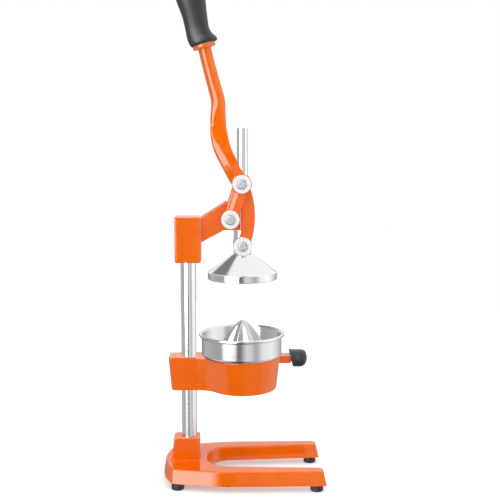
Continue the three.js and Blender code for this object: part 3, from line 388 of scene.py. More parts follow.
def bored(piece, cutters):
    """Cut closed shells out of a piece."""
    tools = [new_piece("cutter", [cutter], piece.data.materials[0]) for cutter in cutters]
    return combine(piece, tools, "DIFFERENCE")


def welded(name, shells, material):
    """A piece of closed shells joined without any easing of the edges between them."""
    piece = new_piece(name, shells[:1], material)
    return combine(piece, [new_piece("shell", [shell], material) for shell in shells[1:]], "UNION")


def cast(name, shells, material, grain, easing):
    """A casting: shells fused on a grid of this grain, with edges eased as in a mould."""
    piece = new_piece(name, shells, material)
    fused = piece.modifiers.new("fused", "REMESH")
    fused.mode = "VOXEL"
    fused.voxel_size = grain * mm
    eased = piece.modifiers.new("eased", "SMOOTH")
    eased.factor = 0.5
    eased.iterations = easing
    return settle(piece)


def new_finish(name, colour, roughness, metallic=0, ior=1.5):
    """A material with a Principled shader, and its tree, shader and Object coordinates."""
    material = bpy.data.materials.new(name)
    material.use_nodes = True
    tree = material.node_tree
    tree.nodes.clear()
    shader = add_node(tree, "ShaderNodeBsdfPrincipled", {
        "Base Color": linear(colour), "Metallic": metallic, "Roughness": roughness, "IOR": ior,
    })
    add_node(tree, "ShaderNodeOutputMaterial", {"Surface": shader})
    coords = add_node(tree, "ShaderNodeTexCoord").outputs["Object"]
    return material, tree, shader, coords


# Powder coat, baked to a deep gloss: slight orange peel of 1.5 mm, and the long unevenness of the cast
# iron below it. Small chips along the base's lower edge show the dark iron.
coat_colour = "#F56D04"
coat_pool_colour = "#EF6504"
chip_colour = "#5B2A14"
powder_coat, tree, shader, coords = new_finish("powder_coat", coat_colour, roughness=0.07)
normal = None
for size, depth in [(14, 0.02), (1.5, 0.0016)]:
    peel = add_node(
        tree, "ShaderNodeTexNoise", {"Vector": coords, "Scale": 1 / (size * mm), "Detail": 2.0},
    )
    wave = add_node(tree, "ShaderNodeBump", {"Height": peel, "Distance": depth * mm})
    if normal:
        tree.links.new(normal, wave.inputs["Normal"])
    normal = wave.outputs["Normal"]
tree.links.new(normal, shader.inputs["Normal"])
pools = add_node(tree, "ShaderNodeTexNoise", {"Vector": coords, "Scale": 1 / (22 * mm), "Detail": 3.0})
pool_share = add_node(tree, "ShaderNodeMapRange", {"Value": pools, "From Min": 0.4, "From Max": 0.75})
coat = add_node(tree, "ShaderNodeMix", {
    "Factor": pool_share, 6: linear(coat_colour), 7: linear(coat_pool_colour),
}, data_type="RGBA")
chips = add_node(tree, "ShaderNodeTexNoise", {"Vector": coords, "Scale": 1 / (3.5 * mm), "Detail": 2.0})
chip_spots = add_node(tree, "ShaderNodeMapRange", {"Value": chips, "From Min": 0.66, "From Max": 0.7})
height = add_node(tree, "ShaderNodeSeparateXYZ", {0: coords})
low_edge = add_node(tree, "ShaderNodeMapRange", {
    "Value": height.outputs["Z"], "From Min": (base_low_z + 1) * mm, "From Max": (base_low_z + 3) * mm,
    "To Min": 1.0, "To Max": 0.0,
})
chip_share = add_node(tree, "ShaderNodeMath", {0: chip_spots, 1: low_edge}, operation="MULTIPLY")
worn = add_node(tree, "ShaderNodeMix", {
    "Factor": chip_share, 6: coat.outputs[2], 7: linear(chip_colour),
}, data_type="RGBA")
tree.links.new(worn.outputs[2], shader.inputs["Base Color"])


def base_outline(inset):
    """The outline of the base at a level, from the front of one leg round the nose to the other."""
    half = base_half_width - inset
    rear, corner_x, corner_y = inset - base_end_x, inset / 2 + nose_corner_x, nose_half_width - inset
    bow = (corner_y ** 2 + (corner_x - rear) ** 2) / (2 * (corner_x - rear))
    nose = []
    for step in range(25):
        y = corner_y - 2 * corner_y * step / 24
        nose.append((rear + bow - math.sqrt(bow ** 2 - y ** 2), y, 0))
    front = base_end_x - inset * leg_end_draft / base_draft
    inner_front, inner_rear, back = gap_front_half + inset, gap_rear_half + inset, gap_rear_x - inset
    return soft_corners([
        (front, inner_front, leg_corner_radius), (front, half, leg_corner_radius),
        (side_bend_x, half, side_bend_radius), *nose, (side_bend_x, -half, side_bend_radius),
        (front, -half, leg_corner_radius), (front, -inner_front, leg_corner_radius),
        (back, -inner_rear, gap_corner_radius), (back, inner_rear, gap_corner_radius),
    ], 14)


def block_outline(back_x, front_x, depth, inset, radius):
    """An upright block's outline at a level."""
    along = depth / 2 - inset
    return soft_corners([
        (back_x + inset, -along, radius), (front_x - inset, -along, radius),
        (front_x - inset, along, radius), (back_x + inset, along, radius),
    ])


body_rings = [at_height(base_outline(0.3), base_low_z), at_height(base_outline(0), base_low_z + 0.3)]
for step in range(7):
    angle = math.radians(90) * step / 6
    inset = base_draft + base_edge * (1 - math.cos(angle))
    body_rings.append(at_height(base_outline(inset), base_top_z - base_edge + base_edge * math.sin(angle)))
socket_rings = []
for up, inset in [(-3, -2), (0, -2), (0.15, -1.2), (0.6, -0.6), (1.2, -0.2), (2, 0), (27.9, 0.5),
                  (28.7, 0.75), (29.25, 1.3), (socket_height, 2.1)]:
    back = post_x - socket_back - socket_lean * (1 - up / socket_height)
    outline = block_outline(back, post_x + socket_front, socket_width, inset, 3 - min(inset, 0))
    socket_rings.append(at_height(outline, base_top_z + up))
# The feet's places, in front and at the rear: an x and a reach to either side
foot_places = [(93.6, 51.5), (-85.6, 42)]
screw_places = [(x, side * y) for x, y in foot_places for side in (-1, 1)]
base = welded("base_casting_coated", [loft(body_rings), loft(socket_rings)], powder_coat)
bored(base, [
    upright(post_x, socket_floor_z, socket_top_z + overrun, post_radius + fit),
    upright(post_x, 0, 30, post_screw_radius + fit),
    upright(post_x, 0, base_recess_top_z, base_recess_radius),
    *[
        round_bar(
            (x, y, base_low_z - 2 * overrun), (x, y, foot_screw_tip_z + fit), foot_screw_radius + fit, 32,
        )
        for x, y in screw_places
    ],
])
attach(base, "frame")
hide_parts("base_casting")


# The feet: four moulded rubber feet, each held by a short zinc-plated screw from below. One foot and one
# screw are turned, and Geometry Nodes set them at the four corners.
def turned(name, corners, material, centre=(0, 0), steps=96, axis="Z", arc=3):
    """A turned piece: each corner is a radius, a place along the axis, and how far it is rounded."""
    if corners[0][0] > 0:
        # A profile that doesn't start on the axis ends where it starts
        corners = [*corners, corners[0]]
    profile = soft_corners(corners, arc, closed=False)
    points, faces = [], []
    for step in range(steps):
        angle = math.tau * step / steps
        for radius, along in profile:
            across, aside = radius * math.cos(angle), radius * math.sin(angle)
            if axis == "Z":
                points.append(Vector((centre[0] + across, centre[1] + aside, along)))
            else:
                points.append(Vector((centre[0] + across, along, centre[1] + aside)))
    count = len(profile)
    for step in range(steps):
        here, there = step * count, (step + 1) % steps * count
        for i in range(count - 1):
            faces.append((here + i, there + i, there + i + 1, here + i + 1))
    return settle(new_piece(name, [(points, faces)], material))


def grained_finish(name, tones, gloss, grain, detail=3, relief=0, stretch=(), contrast=(0, 1), metallic=1,
                   ior=1.5):
    """A finish with one grain, in millimetres, which mixes its tones and spreads its roughness."""
    material, tree, shader, coords = new_finish(name, tones[0], gloss[0], metallic, ior)
    if stretch:
        coords = add_node(tree, "ShaderNodeMapping", {"Vector": coords, "Scale": stretch})
    noise = add_node(
        tree, "ShaderNodeTexNoise", {"Vector": coords, "Scale": 1 / (grain * mm), "Detail": detail},
    )
    if relief:
        ridges = add_node(tree, "ShaderNodeBump", {"Height": noise, "Distance": relief * mm})
        tree.links.new(ridges.outputs["Normal"], shader.inputs["Normal"])
    if len(gloss) > 1:
        spread = add_node(tree, "ShaderNodeMapRange", {
            "Value": noise, "From Min": contrast[0], "From Max": contrast[1], "To Min": gloss[0],
            "To Max": gloss[1],
        })
        tree.links.new(spread.outputs[0], shader.inputs["Roughness"])
    if len(tones) > 1:
        colours = {"Factor": noise, 6: linear(tones[0]), 7: linear(tones[1])}
        mixed = add_node(tree, "ShaderNodeMix", colours, data_type="RGBA")
        tree.links.new(mixed.outputs[2], shader.inputs["Base Color"])
    return material


def new_tree(name, sizes):
    """A Geometry Nodes tree that takes a mesh and named sizes, and the sockets of its input."""
    tree = bpy.data.node_groups.new(name, "GeometryNodeTree")
    tree.interface.new_socket("Geometry", in_out="INPUT", socket_type="NodeSocketGeometry")
    for size in sizes:
        tree.interface.new_socket(size, in_out="INPUT", socket_type="NodeSocketFloat")
    tree.interface.new_socket("Geometry", in_out="OUTPUT", socket_type="NodeSocketGeometry")
    return tree, add_node(tree, "NodeGroupInput").outputs


def grow(piece, tree, geometry, sizes):
    """End a tree in this geometry with the piece's material, and turn the piece into what it makes."""
    whole = add_node(tree, "GeometryNodeRealizeInstances", {0: geometry})
    painted = add_node(
        tree, "GeometryNodeSetMaterial", {"Geometry": whole, "Material": piece.data.materials[0]},
    )
    add_node(tree, "NodeGroupOutput", {0: painted})
    growth = piece.modifiers.new(tree.name, "NODES")
    growth.node_group = tree
    for socket in tree.interface.items_tree:
        if socket.in_out == "INPUT" and socket.name in sizes:
            growth[socket.identifier] = sizes[socket.name]
    return settle(piece)


def set_out(piece, places, height=0, far_turn=0):
    """Copies of a piece on both sides, at one place or two that each give an x and a reach sideways."""
    (front_x, front_y), (rear_x, rear_y) = places[0], places[-1]
    sizes = {
        "Copies": 2 * len(places), "Front X": front_x * mm, "Front Y": front_y * mm, "Rear X": rear_x * mm,
        "Rear Y": rear_y * mm, "Height": height * mm, "Far Turn": far_turn,
    }
    tree, given = new_tree("both_sides", sizes)
    index = add_node(tree, "GeometryNodeInputIndex")
    half = add_node(tree, "ShaderNodeMath", {0: index, 1: 0.5}, operation="MULTIPLY")
    rear = add_node(tree, "ShaderNodeMath", {0: half}, operation="FLOOR")
    far = add_node(tree, "ShaderNodeMath", {0: index, 1: 2.0}, operation="MODULO")
    side = add_node(tree, "ShaderNodeMath", {0: far, 1: 2.0, 2: -1.0}, operation="MULTIPLY_ADD")
    to_rear_x = {0: rear, "To Min": given["Front X"], "To Max": given["Rear X"]}
    to_rear_y = {0: rear, "To Min": given["Front Y"], "To Max": given["Rear Y"]}
    along = add_node(tree, "ShaderNodeMapRange", to_rear_x)
    reach = add_node(tree, "ShaderNodeMapRange", to_rear_y)
    across = add_node(tree, "ShaderNodeMath", {0: reach, 1: side}, operation="MULTIPLY")
    place = add_node(tree, "ShaderNodeCombineXYZ", {"X": along, "Y": across, "Z": given["Height"]})
    points = add_node(tree, "GeometryNodePoints", {"Count": given["Copies"], "Position": place})
    angle = add_node(tree, "ShaderNodeMath", {0: far, 1: given["Far Turn"]}, operation="MULTIPLY")
    turn = add_node(tree, "ShaderNodeCombineXYZ", {"Z": angle})
    copies = add_node(tree, "GeometryNodeInstanceOnPoints", {
        "Points": points, "Instance": given["Geometry"], "Rotation": turn,
    })
    return grow(piece, tree, copies, sizes)


# Moulded rubber: near black with a faint blue bloom and a fine matt grain of about 0.8 mm
foot_rubber = grained_finish(
    "foot_rubber", ["#221F26", "#332E38"], [0.55], grain=0.8, relief=0.02, metallic=0,
)

foot_radius, foot_top_z = 8.3, base_low_z - gap
foot_hole, foot_recess_radius, foot_seat_z = foot_screw_radius + fit, 4.6, 4.5
feet = turned("rubber_feet", [
    (foot_recess_radius, 0, 0.4), (foot_radius - 0.4, 0, 0.7), (foot_radius, 2, 0.5),
    (foot_radius, foot_top_z, 0.4), (foot_hole, foot_top_z, 0), (foot_hole, foot_seat_z, 0),
    (foot_recess_radius, foot_seat_z, 0),
], foot_rubber, steps=64)
set_out(feet, foot_places)
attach(feet, "frame")
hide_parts("foot_front_near", "foot_front_far", "foot_rear_near", "foot_rear_far")

# Zinc plate on steel screws: a pale bluish grey, satin, with a faint cloudiness of about 3 mm
zinc_plate = grained_finish("zinc_plate", ["#B6BBC0"], [0.4, 0.52], grain=3)

foot_head_radius, foot_head_low_z, foot_head_top_z = 3.6, 1.85, foot_seat_z - gap
foot_drive_radius, foot_drive_z = 1.4, 3.05
foot_screws = turned("foot_screws", [
    (0, foot_drive_z, 0), (foot_drive_radius, foot_drive_z, 0), (foot_drive_radius, foot_head_low_z, 0),
    (foot_head_radius, foot_head_low_z, 0.5), (foot_head_radius, foot_head_top_z, 0.2),
    (foot_screw_radius, foot_head_top_z, 0), (foot_screw_radius, foot_screw_tip_z, 0.4),
    (0, foot_screw_tip_z, 0),
], zinc_plate, steps=48)
set_out(foot_screws, foot_places)
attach(foot_screws, "frame")
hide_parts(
    "foot_screw_front_near", "foot_screw_front_far", "foot_screw_rear_near", "foot_screw_rear_far",
)

# The post: a ground and chromed steel bar that stands in the base's socket, drawn down by a hexagon
# screw and a washer under the base.
post_low_z, post_top_z = socket_floor_z + gap, 341
post_hole_top_z, post_screw_tip_z = 41, 39
washer_height = 1.5
post_washer_z = base_recess_top_z - gap - washer_height
post_screw_seat_z = post_washer_z - gap
post_head_radius, post_head_low_z = 8.5, 3.6

# Hard chrome on a ground bar: mirror bright, with fine grinding marks round the bar. They are drawn
# 0.6 mm apart, coarser than the real ones, so that they show.
ground_chrome = grained_finish(
    "ground_chrome", ["#E2E3E5"], [0.09, 0.15], grain=0.6, relief=0.001, stretch=(0.03, 0.03, 1),
    contrast=(0.3, 0.7),
)

post = turned("post_bar", [
    (0, post_low_z, 0), (post_radius, post_low_z, 1), (post_radius, post_top_z, 1), (0, post_top_z, 0),
], ground_chrome, (post_x, 0), steps=128, arc=4)
bored(post, [upright(post_x, post_low_z - overrun, post_hole_top_z, post_screw_radius + fit)])
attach(post, "frame")
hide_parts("post")


def washer(node, body, x, low, inner, outer):
    """A plain washer."""
    top = low + washer_height
    piece = turned(node + "_plain", [
        (inner, low, 0), (outer, low, 0.3), (outer, top, 0.3), (inner, top, 0),
    ], zinc_plate, (x, 0))
    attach(piece, body)
    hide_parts(node)


washer("post_washer", "frame", post_x, post_washer_z, post_screw_radius + fit, 10.5)

post_screw = turned("post_screw_hexagon", [
    (0, post_head_low_z, 0), (post_head_radius - 1.1, post_head_low_z, 0),
    (post_head_radius, post_head_low_z + 0.9, 0), (post_head_radius, post_screw_seat_z, 0),
    (0, post_screw_seat_z, 0),
], zinc_plate, (post_x, 0), steps=6)
shank_low_z = post_screw_seat_z - 1
shank = turned("shank", [
    (0, shank_low_z, 0), (post_screw_radius, shank_low_z, 0), (post_screw_radius, post_screw_tip_z, 0.8),
    (0, post_screw_tip_z, 0),
], zinc_plate, (post_x, 0))
combine(post_screw, [shank], "UNION")
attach(post_screw, "frame")
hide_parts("post_screw")

# The ring bracket: a casting clamped on the post by a set screw, with a web that flares into the ring
# under the bowl, and a flat bar in front for its grip.
ring_top_z = 166.5
ring_bottom_z = 122.5
ring_radius = 49.5
ring_bore_low, ring_bore_top = 39, 45
clamp_back, clamp_half_width = 26.2, 16
web_radius = 28
bar_end_x = 62
bar_depth, bar_half_width = 9.5, 10
stud_radius, stud_length = 5, 15
set_screw_radius, set_screw_socket_radius = 3, 1.6
bracket_screw_z = (ring_top_z + ring_bottom_z) / 2


def bracket_outline(inset):
    """The block, the two flared webs and the ring, as one outline."""
    ring, web = ring_radius - inset, web_radius + inset
    half, back = clamp_half_width - inset / 3, post_x - clamp_back + 0.75 * inset
    web_y = half + web
    web_x = rod_x - math.sqrt((ring + web) ** 2 - web_y ** 2)
    meet = math.atan2(web_y, rod_x - web_x)
    web_arc, ring_arc = [], []
    for step in range(17):
        angle = math.pi / 2 - (math.pi / 2 - meet) * step / 16
        web_arc.append((web_x + web * math.cos(angle), -web_y + web * math.sin(angle), 0))
    for step in range(1, 90):
        angle = math.pi + meet + (math.tau - 2 * meet) * step / 90
        ring_arc.append((rod_x + ring * math.cos(angle), ring * math.sin(angle), 0))
    far_arc = [(x, -y, 0) for x, y, _ in reversed(web_arc)]
    return soft_corners([(back, -half, 4), *web_arc, *ring_arc, *far_arc, (back, half, 4)])


def lengthwise(start_x, end_x, z, radius, steps=64):
    """A round bar that lies along the middle plane."""
    return round_bar((start_x, 0, z), (end_x, 0, z), radius, steps)


bracket_rings = [
    at_height(bracket_outline(inset), z)
    for z, inset in [(ring_bottom_z, 6.8), (ring_bottom_z + 0.3, 5.7), (ring_bottom_z + 1.1, 4.9),
                     (ring_bottom_z + 2.2, 4.6), (ring_top_z - 1.6, 0), (ring_top_z - 1, 0.1),
                     (ring_top_z - 0.45, 0.45), (ring_top_z - 0.1, 1), (ring_top_z, 1.6)]
]
stud_z = ring_top_z - bar_depth / 2


def flat_bar(start_x, end_x, grown):
    """A flat bar in line with the stud, grown on all four sides."""
    half, up = bar_half_width + grown, bar_depth / 2 + grown
    corners = [(-half, -up), (half, -up), (half, up), (-half, up)]
    return loft([[(x, y, stud_z + z) for y, z in corners] for x in (start_x, end_x)])


bracket = welded("bracket_casting_coated", [
    loft(bracket_rings), flat_bar(40, bar_end_x, 0),
    lengthwise(bar_end_x - 2, bar_end_x + stud_length, stud_z, stud_radius),
], powder_coat)
ring_bore = loft([
    [(rod_x + r * math.cos(math.tau * i / 128), r * math.sin(math.tau * i / 128), z) for i in range(128)]
    for r, z in [
        (ring_bore_low, ring_bottom_z - overrun), (ring_bore_top, ring_top_z),
        (ring_bore_top, ring_top_z + overrun),
    ]
])
bored(bracket, [
    ring_bore,
    upright(post_x, ring_bottom_z - overrun, ring_top_z + overrun, post_radius + fit),
    lengthwise(post_x - 30, post_x, bracket_screw_z, set_screw_radius + fit, 32),
])
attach(bracket, "frame")
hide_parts("bracket_casting")


def set_screw(name, node, body, start_x, end_x, socket, z):
    """A headless screw that lies along the press, with a hexagon socket between two places."""
    screw = new_piece(name, [lengthwise(start_x, end_x, z, set_screw_radius, 48)], zinc_plate)
    bored(screw, [lengthwise(*socket, z, set_screw_socket_radius, 6)])
    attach(screw, body)
    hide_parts(node)


# The set screws of the bracket and the head press on the post from behind
tip_x = post_x - post_radius - fit
back_place = (tip_x - 5.5, tip_x, (tip_x - 8, tip_x - 3))
set_screw("bracket_screw", "bracket_set_screw", "frame", *back_place, bracket_screw_z)


# The grip on the bracket's bar: moulded in dark grey plastic, oval, with a slanted mouth and a rounded
# end. It is pushed on to the bar's stud.
def smooth_path(points, steps):
    """Points on a smooth curve through the given ones, spread evenly over the stretches between them."""
    points = [Vector(point) for point in points]
    ends = [points[0] * 2 - points[1], *points, points[-1] * 2 - points[-2]]
    path = []
    for step in range(steps + 1):
        place = step / steps * (len(points) - 1)
        first = min(int(place), len(points) - 2)
        t = place - first
        a, b, c, d = ends[first : first + 4]
        bend = (a * 2 - b * 5 + c * 4 - d) * t ** 2 + (b * 3 - a - c * 3 + d) * t ** 3
        path.append((b * 2 + (c - a) * t + bend) / 2)
    return path


def oval(power):
    """Points round a unit oval, from a circle at power 2 towards a square at higher powers."""
    ring = []
    for step in range(72):
        ways = math.cos(math.tau * step / 72), math.sin(math.tau * step / 72)
        ring.append(tuple(math.copysign(abs(way) ** (2 / power), way) for way in ways))
    return ring


# Satin moulded plastic: dark grey, with a fine spark-eroded grain of about 0.7 mm
moulded_grip = grained_finish(
    "moulded_grip", ["#2B2B2D"], [0.36, 0.46], grain=0.7, detail=2, relief=0.006, metallic=0,
)

knob_start_x, knob_length = bar_end_x - 2, 24
mouth_slant, mouth_half = 5.5, 11
# Each place: its share of the length, and its reach up, down and to the sides
knob_places = [
    (0, 11.4, 10.8, 13.4), (0.12, 11.2, 10.8, 13.4), (0.3, 11, 10.9, 13.2), (0.6, 11, 10.6, 13.6),
    (0.8, 10.5, 8.6, 12.4), (0.93, 8.2, 5.6, 8.6), (1, 2.2, 2, 2.4),
]
knob_rings = []
for along, top, bottom, aside in smooth_path(knob_places, 42):
    ring = []
    for across, up in oval(2.6):
        reach = up * (top if up > 0 else bottom)
        slant = (1 - along) * mouth_slant * (1 - reach / mouth_half) / 2
        ring.append((knob_start_x + along * knob_length + slant, across * aside, stud_z + reach))
    knob_rings.append(ring)
knob = new_piece("bracket_knob", [loft(knob_rings)], moulded_grip)
bored(knob, [
    flat_bar(knob_start_x - overrun, bar_end_x + fit, fit),
    lengthwise(knob_start_x, bar_end_x + stud_length + fit, stud_z, stud_radius + fit),
])
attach(knob, "frame")
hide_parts("bracket_grip")

# The bowl: spun from stainless sheet, with an upright wall, a rolled rim and a flat floor that rests on
# the ring. Its funnel hangs in the floor's bevelled opening.
bowl_x = rod_x - 1.2
bowl_sheet = 1.6
bowl_radius = 52.7
bowl_inside = bowl_radius - bowl_sheet
bowl_seat_z = ring_top_z + gap
bowl_floor_z = bowl_seat_z + bowl_sheet
bowl_rim_z = 194.6
rim_roll = 2.2
rim_radius = bowl_radius + rim_roll - bowl_sheet / 2
opening_top, opening_low = 44.7, 43.9
funnel_fall = math.tan(math.radians(28))
spout_radius, spout_length = 14, 4

# Spun stainless steel, buffed: bright, with soft spinning lines round the piece, drawn 1.1 mm apart
spun_steel = grained_finish(
    "spun_steel", ["#DCDCDD"], [0.06, 0.15], grain=1.1, detail=4, relief=0.004, stretch=(0.02, 0.02, 1),
    contrast=(0.3, 0.7),
)

roll_angles = [math.radians(-90 + 250 * step / 29) for step in range(1, 30)]
bowl = turned("spun_bowl", [
    (bowl_inside, bowl_rim_z, 0), (bowl_inside, bowl_floor_z, 2), (opening_top, bowl_floor_z, 0),
    (opening_low, bowl_seat_z, 0), (bowl_radius, bowl_seat_z, 3.6),
    (bowl_radius, bowl_rim_z - rim_roll, 0),
    *[(rim_radius + rim_roll * math.cos(a), bowl_rim_z + rim_roll * math.sin(a), 0) for a in roll_angles],
], spun_steel, (bowl_x, 0), steps=160, arc=6)
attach(bowl, "frame")
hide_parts("juice_bowl")

funnel_top, funnel_low, spout_inside = opening_top - gap, opening_low - gap, spout_radius - bowl_sheet
spout_top_z = bowl_seat_z - (funnel_low - spout_radius) * funnel_fall
spout_low_z = spout_top_z - spout_length
funnel = turned("spun_funnel", [
    (funnel_top, bowl_floor_z, 0),
    (spout_inside, bowl_floor_z - (funnel_top - spout_inside) * funnel_fall, 3),
    (spout_inside, spout_low_z, 0.5), (spout_radius, spout_low_z, 0.5), (spout_radius, spout_top_z, 2),
    (funnel_low, bowl_seat_z, 0),
], spun_steel, (bowl_x, 0), steps=128, arc=6)
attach(funnel, "frame")
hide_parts("juice_funnel")

# The strainer: a punched plate that lies on the bowl's floor. Geometry Nodes punch a ring of round-ended
# slots in it.
# Brushed stainless sheet: straight brush lines of 0.4 mm along one direction, satin
brushed_steel = grained_finish(
    "brushed_steel", ["#C9CACC"], [0.18, 0.36], grain=0.4, detail=2, relief=0.004, stretch=(0.04, 1, 1),
)

plate_hole, plate_radius, plate_sheet = 19, 49.6, 1.6
plate_low_z = bowl_floor_z + gap
plate_top_z = plate_low_z + plate_sheet
strainer = turned("punched_strainer", [
    (plate_hole, plate_low_z, 0), (plate_radius, plate_low_z, 0.2), (plate_radius, plate_top_z, 0.4),
    (plate_hole, plate_top_z, 0.3),
], brushed_steel, (rod_x, 0), steps=128)
slot_sizes = {
    "Axis X": rod_x * mm, "Plate Z": plate_low_z * mm, "Inner End": 37.5 * mm, "Outer End": 46 * mm,
    "Slot Width": 3 * mm, "Slots": 24,
}
tree, given = new_tree("punched_slots", slot_sizes)
half_width = add_node(tree, "ShaderNodeMath", {0: given["Slot Width"], 1: 0.5}, operation="MULTIPLY")
slot_ends = []
for end, operation in [("Inner End", "ADD"), ("Outer End", "SUBTRACT")]:
    reach = add_node(tree, "ShaderNodeMath", {0: given[end], 1: half_width}, operation=operation)
    place = add_node(tree, "ShaderNodeCombineXYZ", {"X": reach})
    punch = add_node(
        tree, "GeometryNodeMeshCylinder", {"Vertices": 20, "Radius": half_width, "Depth": 6 * mm},
    )
    slot_ends.append(add_node(tree, "GeometryNodeTransform", {"Geometry": punch, "Translation": place}))
both_ends = add_node(tree, "GeometryNodeJoinGeometry", {0: slot_ends[0]})
tree.links.new(slot_ends[1].outputs[0], both_ends.inputs[0])
punch = add_node(tree, "GeometryNodeConvexHull", {0: both_ends})
middle = add_node(tree, "ShaderNodeCombineXYZ", {"X": given["Axis X"], "Z": given["Plate Z"]})
centres = add_node(tree, "GeometryNodePoints", {"Count": given["Slots"], "Position": middle})
index = add_node(tree, "GeometryNodeInputIndex")
step_angle = add_node(tree, "ShaderNodeMath", {0: math.tau, 1: given["Slots"]}, operation="DIVIDE")
angle = add_node(tree, "ShaderNodeMath", {0: index, 1: step_angle}, operation="MULTIPLY")
turn = add_node(tree, "ShaderNodeCombineXYZ", {"Z": angle})
punches = add_node(
    tree, "GeometryNodeInstanceOnPoints", {"Points": centres, "Instance": punch, "Rotation": turn},
)
separate = add_node(tree, "GeometryNodeRealizeInstances", {0: punches})
punched = add_node(tree, "GeometryNodeMeshBoolean", {
    "Mesh 1": given["Geometry"], "Mesh 2": separate,
}, operation="DIFFERENCE", solver="MANIFOLD")
grow(strainer, tree, punched, slot_sizes)
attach(strainer, "frame")
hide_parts("strainer_plate")

# The reamer: pressed from stainless sheet, a cone with ten ribs that stands on the strainer. The plain
# cone is turned, and Geometry Nodes press the flutes between its ribs.
reamer_foot_z = plate_top_z + gap
# The outside and the inside: each corner's radius and its height over the foot
reamer_outside = smooth_path([
    (35, 0), (32.6, 4.3), (27.3, 13), (21.7, 21.8), (16.1, 29.6), (10.9, 35.7), (6, 40.2), (2.2, 42.5),
    (0, 43),
], 64)
reamer_profile = [
    (32, 0), *[tuple(point) for point in reamer_outside], (0, 39), (4, 37), (14, 27), (24, 12),
]
reamer = turned(
    "pressed_reamer", [(max(radius, 0), reamer_foot_z + up, 0) for radius, up in reamer_profile],
    brushed_steel, (rod_x, 0), steps=240,
)
rib_sizes = {
    "Axis X": rod_x * mm, "Foot Z": reamer_foot_z * mm, "Fade Height": 11 * mm, "Depth Share": 0.12,
    "Ribs": 10,
}
tree, given = new_tree("pressed_flutes", rib_sizes)
place = add_node(tree, "GeometryNodeInputPosition")
parts = add_node(tree, "ShaderNodeSeparateXYZ", {0: place})
off_axis = add_node(
    tree, "ShaderNodeMath", {0: parts.outputs["X"], 1: given["Axis X"]}, operation="SUBTRACT",
)
angle = add_node(tree, "ShaderNodeMath", {0: parts.outputs["Y"], 1: off_axis}, operation="ARCTAN2")
half_ribs = add_node(tree, "ShaderNodeMath", {0: given["Ribs"], 1: 0.5}, operation="MULTIPLY")
phase = add_node(tree, "ShaderNodeMath", {0: angle, 1: half_ribs}, operation="MULTIPLY")
wave = add_node(tree, "ShaderNodeMath", {0: phase}, operation="SINE")
flute = add_node(tree, "ShaderNodeMath", {0: wave}, operation="ABSOLUTE")
rise = add_node(tree, "ShaderNodeMath", {0: parts.outputs["Z"], 1: given["Foot Z"]}, operation="SUBTRACT")
fade = add_node(tree, "ShaderNodeMapRange", {0: rise, "From Max": given["Fade Height"]})
depth = add_node(tree, "ShaderNodeMath", {0: fade, 1: given["Depth Share"]}, operation="MULTIPLY")
press_in = add_node(tree, "ShaderNodeMath", {0: depth, 1: flute}, operation="MULTIPLY")
share = add_node(tree, "ShaderNodeMath", {0: 1.0, 1: press_in}, operation="SUBTRACT")
new_x = add_node(
    tree, "ShaderNodeMath", {0: off_axis, 1: share, 2: given["Axis X"]}, operation="MULTIPLY_ADD",
)
new_y = add_node(tree, "ShaderNodeMath", {0: parts.outputs["Y"], 1: share}, operation="MULTIPLY")
moved = add_node(tree, "ShaderNodeCombineXYZ", {"X": new_x, "Y": new_y, "Z": parts.outputs["Z"]})
ribbed = add_node(tree, "GeometryNodeSetPosition", {"Geometry": given["Geometry"], "Position": moved})
grow(reamer, tree, ribbed, rib_sizes)
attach(reamer, "frame")
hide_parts("reamer_cone")

# The head: a casting clamped on the post's top by a set screw. Its arm rises to a hub that guides the
# press rod in two bronze bushes, and the lever's pivot runs through its bosses.
pivot_x, pivot_z = -16.7, 347.9
hub_low_z, hub_top_z = 333.008, 372
head_low_z, head_top_z = 291, 349.8
head_screw_z = (head_low_z + head_top_z) / 2
rod_radius, pin_radius = 7, 6
bush_radius, lower_bush, upper_bush = 9, 8, 12
hub_radius, arm_half_width = 13, 12.5
boss_radius, boss_reach = 9, 20.2
block_half_length, block_width = 16.8, 34


def crossbar(x, z, reach, radius, steps=64):
    """A round bar that reaches as far to the near side as to the far side."""
    return round_bar((x, -reach, z), (x, reach, z), radius, steps)


head_rings = [
    at_height(block_outline(
        post_x - block_half_length, post_x + block_half_length, block_width, inset, 2.4,
    ), z)
    for z, inset in [(head_low_z, 1.2), (head_low_z + 1.2, 0), (head_top_z - 1.2, 0), (head_top_z, 1.2)]
]
arm_outline = [
    (-56.8, head_top_z - 2), (-54.8, head_top_z - 1), (-23, 369), (-7.5, hub_top_z), (-1, hub_top_z),
    (-1, hub_low_z), (-25, hub_low_z), (-54.8, 317), (-56.8, 316),
]
arm_shell = loft([[(x, y, z) for x, z in arm_outline] for y in (-arm_half_width, arm_half_width)])
head = cast("head_casting_coated", [
    loft(head_rings), arm_shell, upright(rod_x, hub_low_z, hub_top_z, hub_radius, 96),
    crossbar(pivot_x, pivot_z, boss_reach, boss_radius, 72),
], powder_coat, grain=0.6, easing=3)
bored(head, [
    upright(post_x, head_low_z - overrun, post_top_z + gap, post_radius + fit),
    upright(rod_x, hub_low_z - overrun, hub_top_z + overrun, rod_radius + fit),
    upright(rod_x, hub_low_z - overrun, hub_low_z + lower_bush + gap, bush_radius + gap),
    upright(rod_x, hub_top_z - upper_bush - gap, hub_top_z + overrun, bush_radius + gap),
    crossbar(pivot_x, pivot_z, boss_reach + overrun, pin_radius + fit),
    lengthwise(post_x - 24, post_x, head_screw_z, set_screw_radius + fit, 32),
])
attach(head, "frame")
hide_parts("head_casting")
set_screw("head_screw", "head_set_screw", "frame", *back_place, head_screw_z)

# Sintered bronze: a warm brown metal, porous and oily, so satin with pores of about 0.5 mm
bronze = grained_finish("sintered_bronze", ["#96703E", "#BA9258"], [0.38], grain=0.5, relief=0.01)

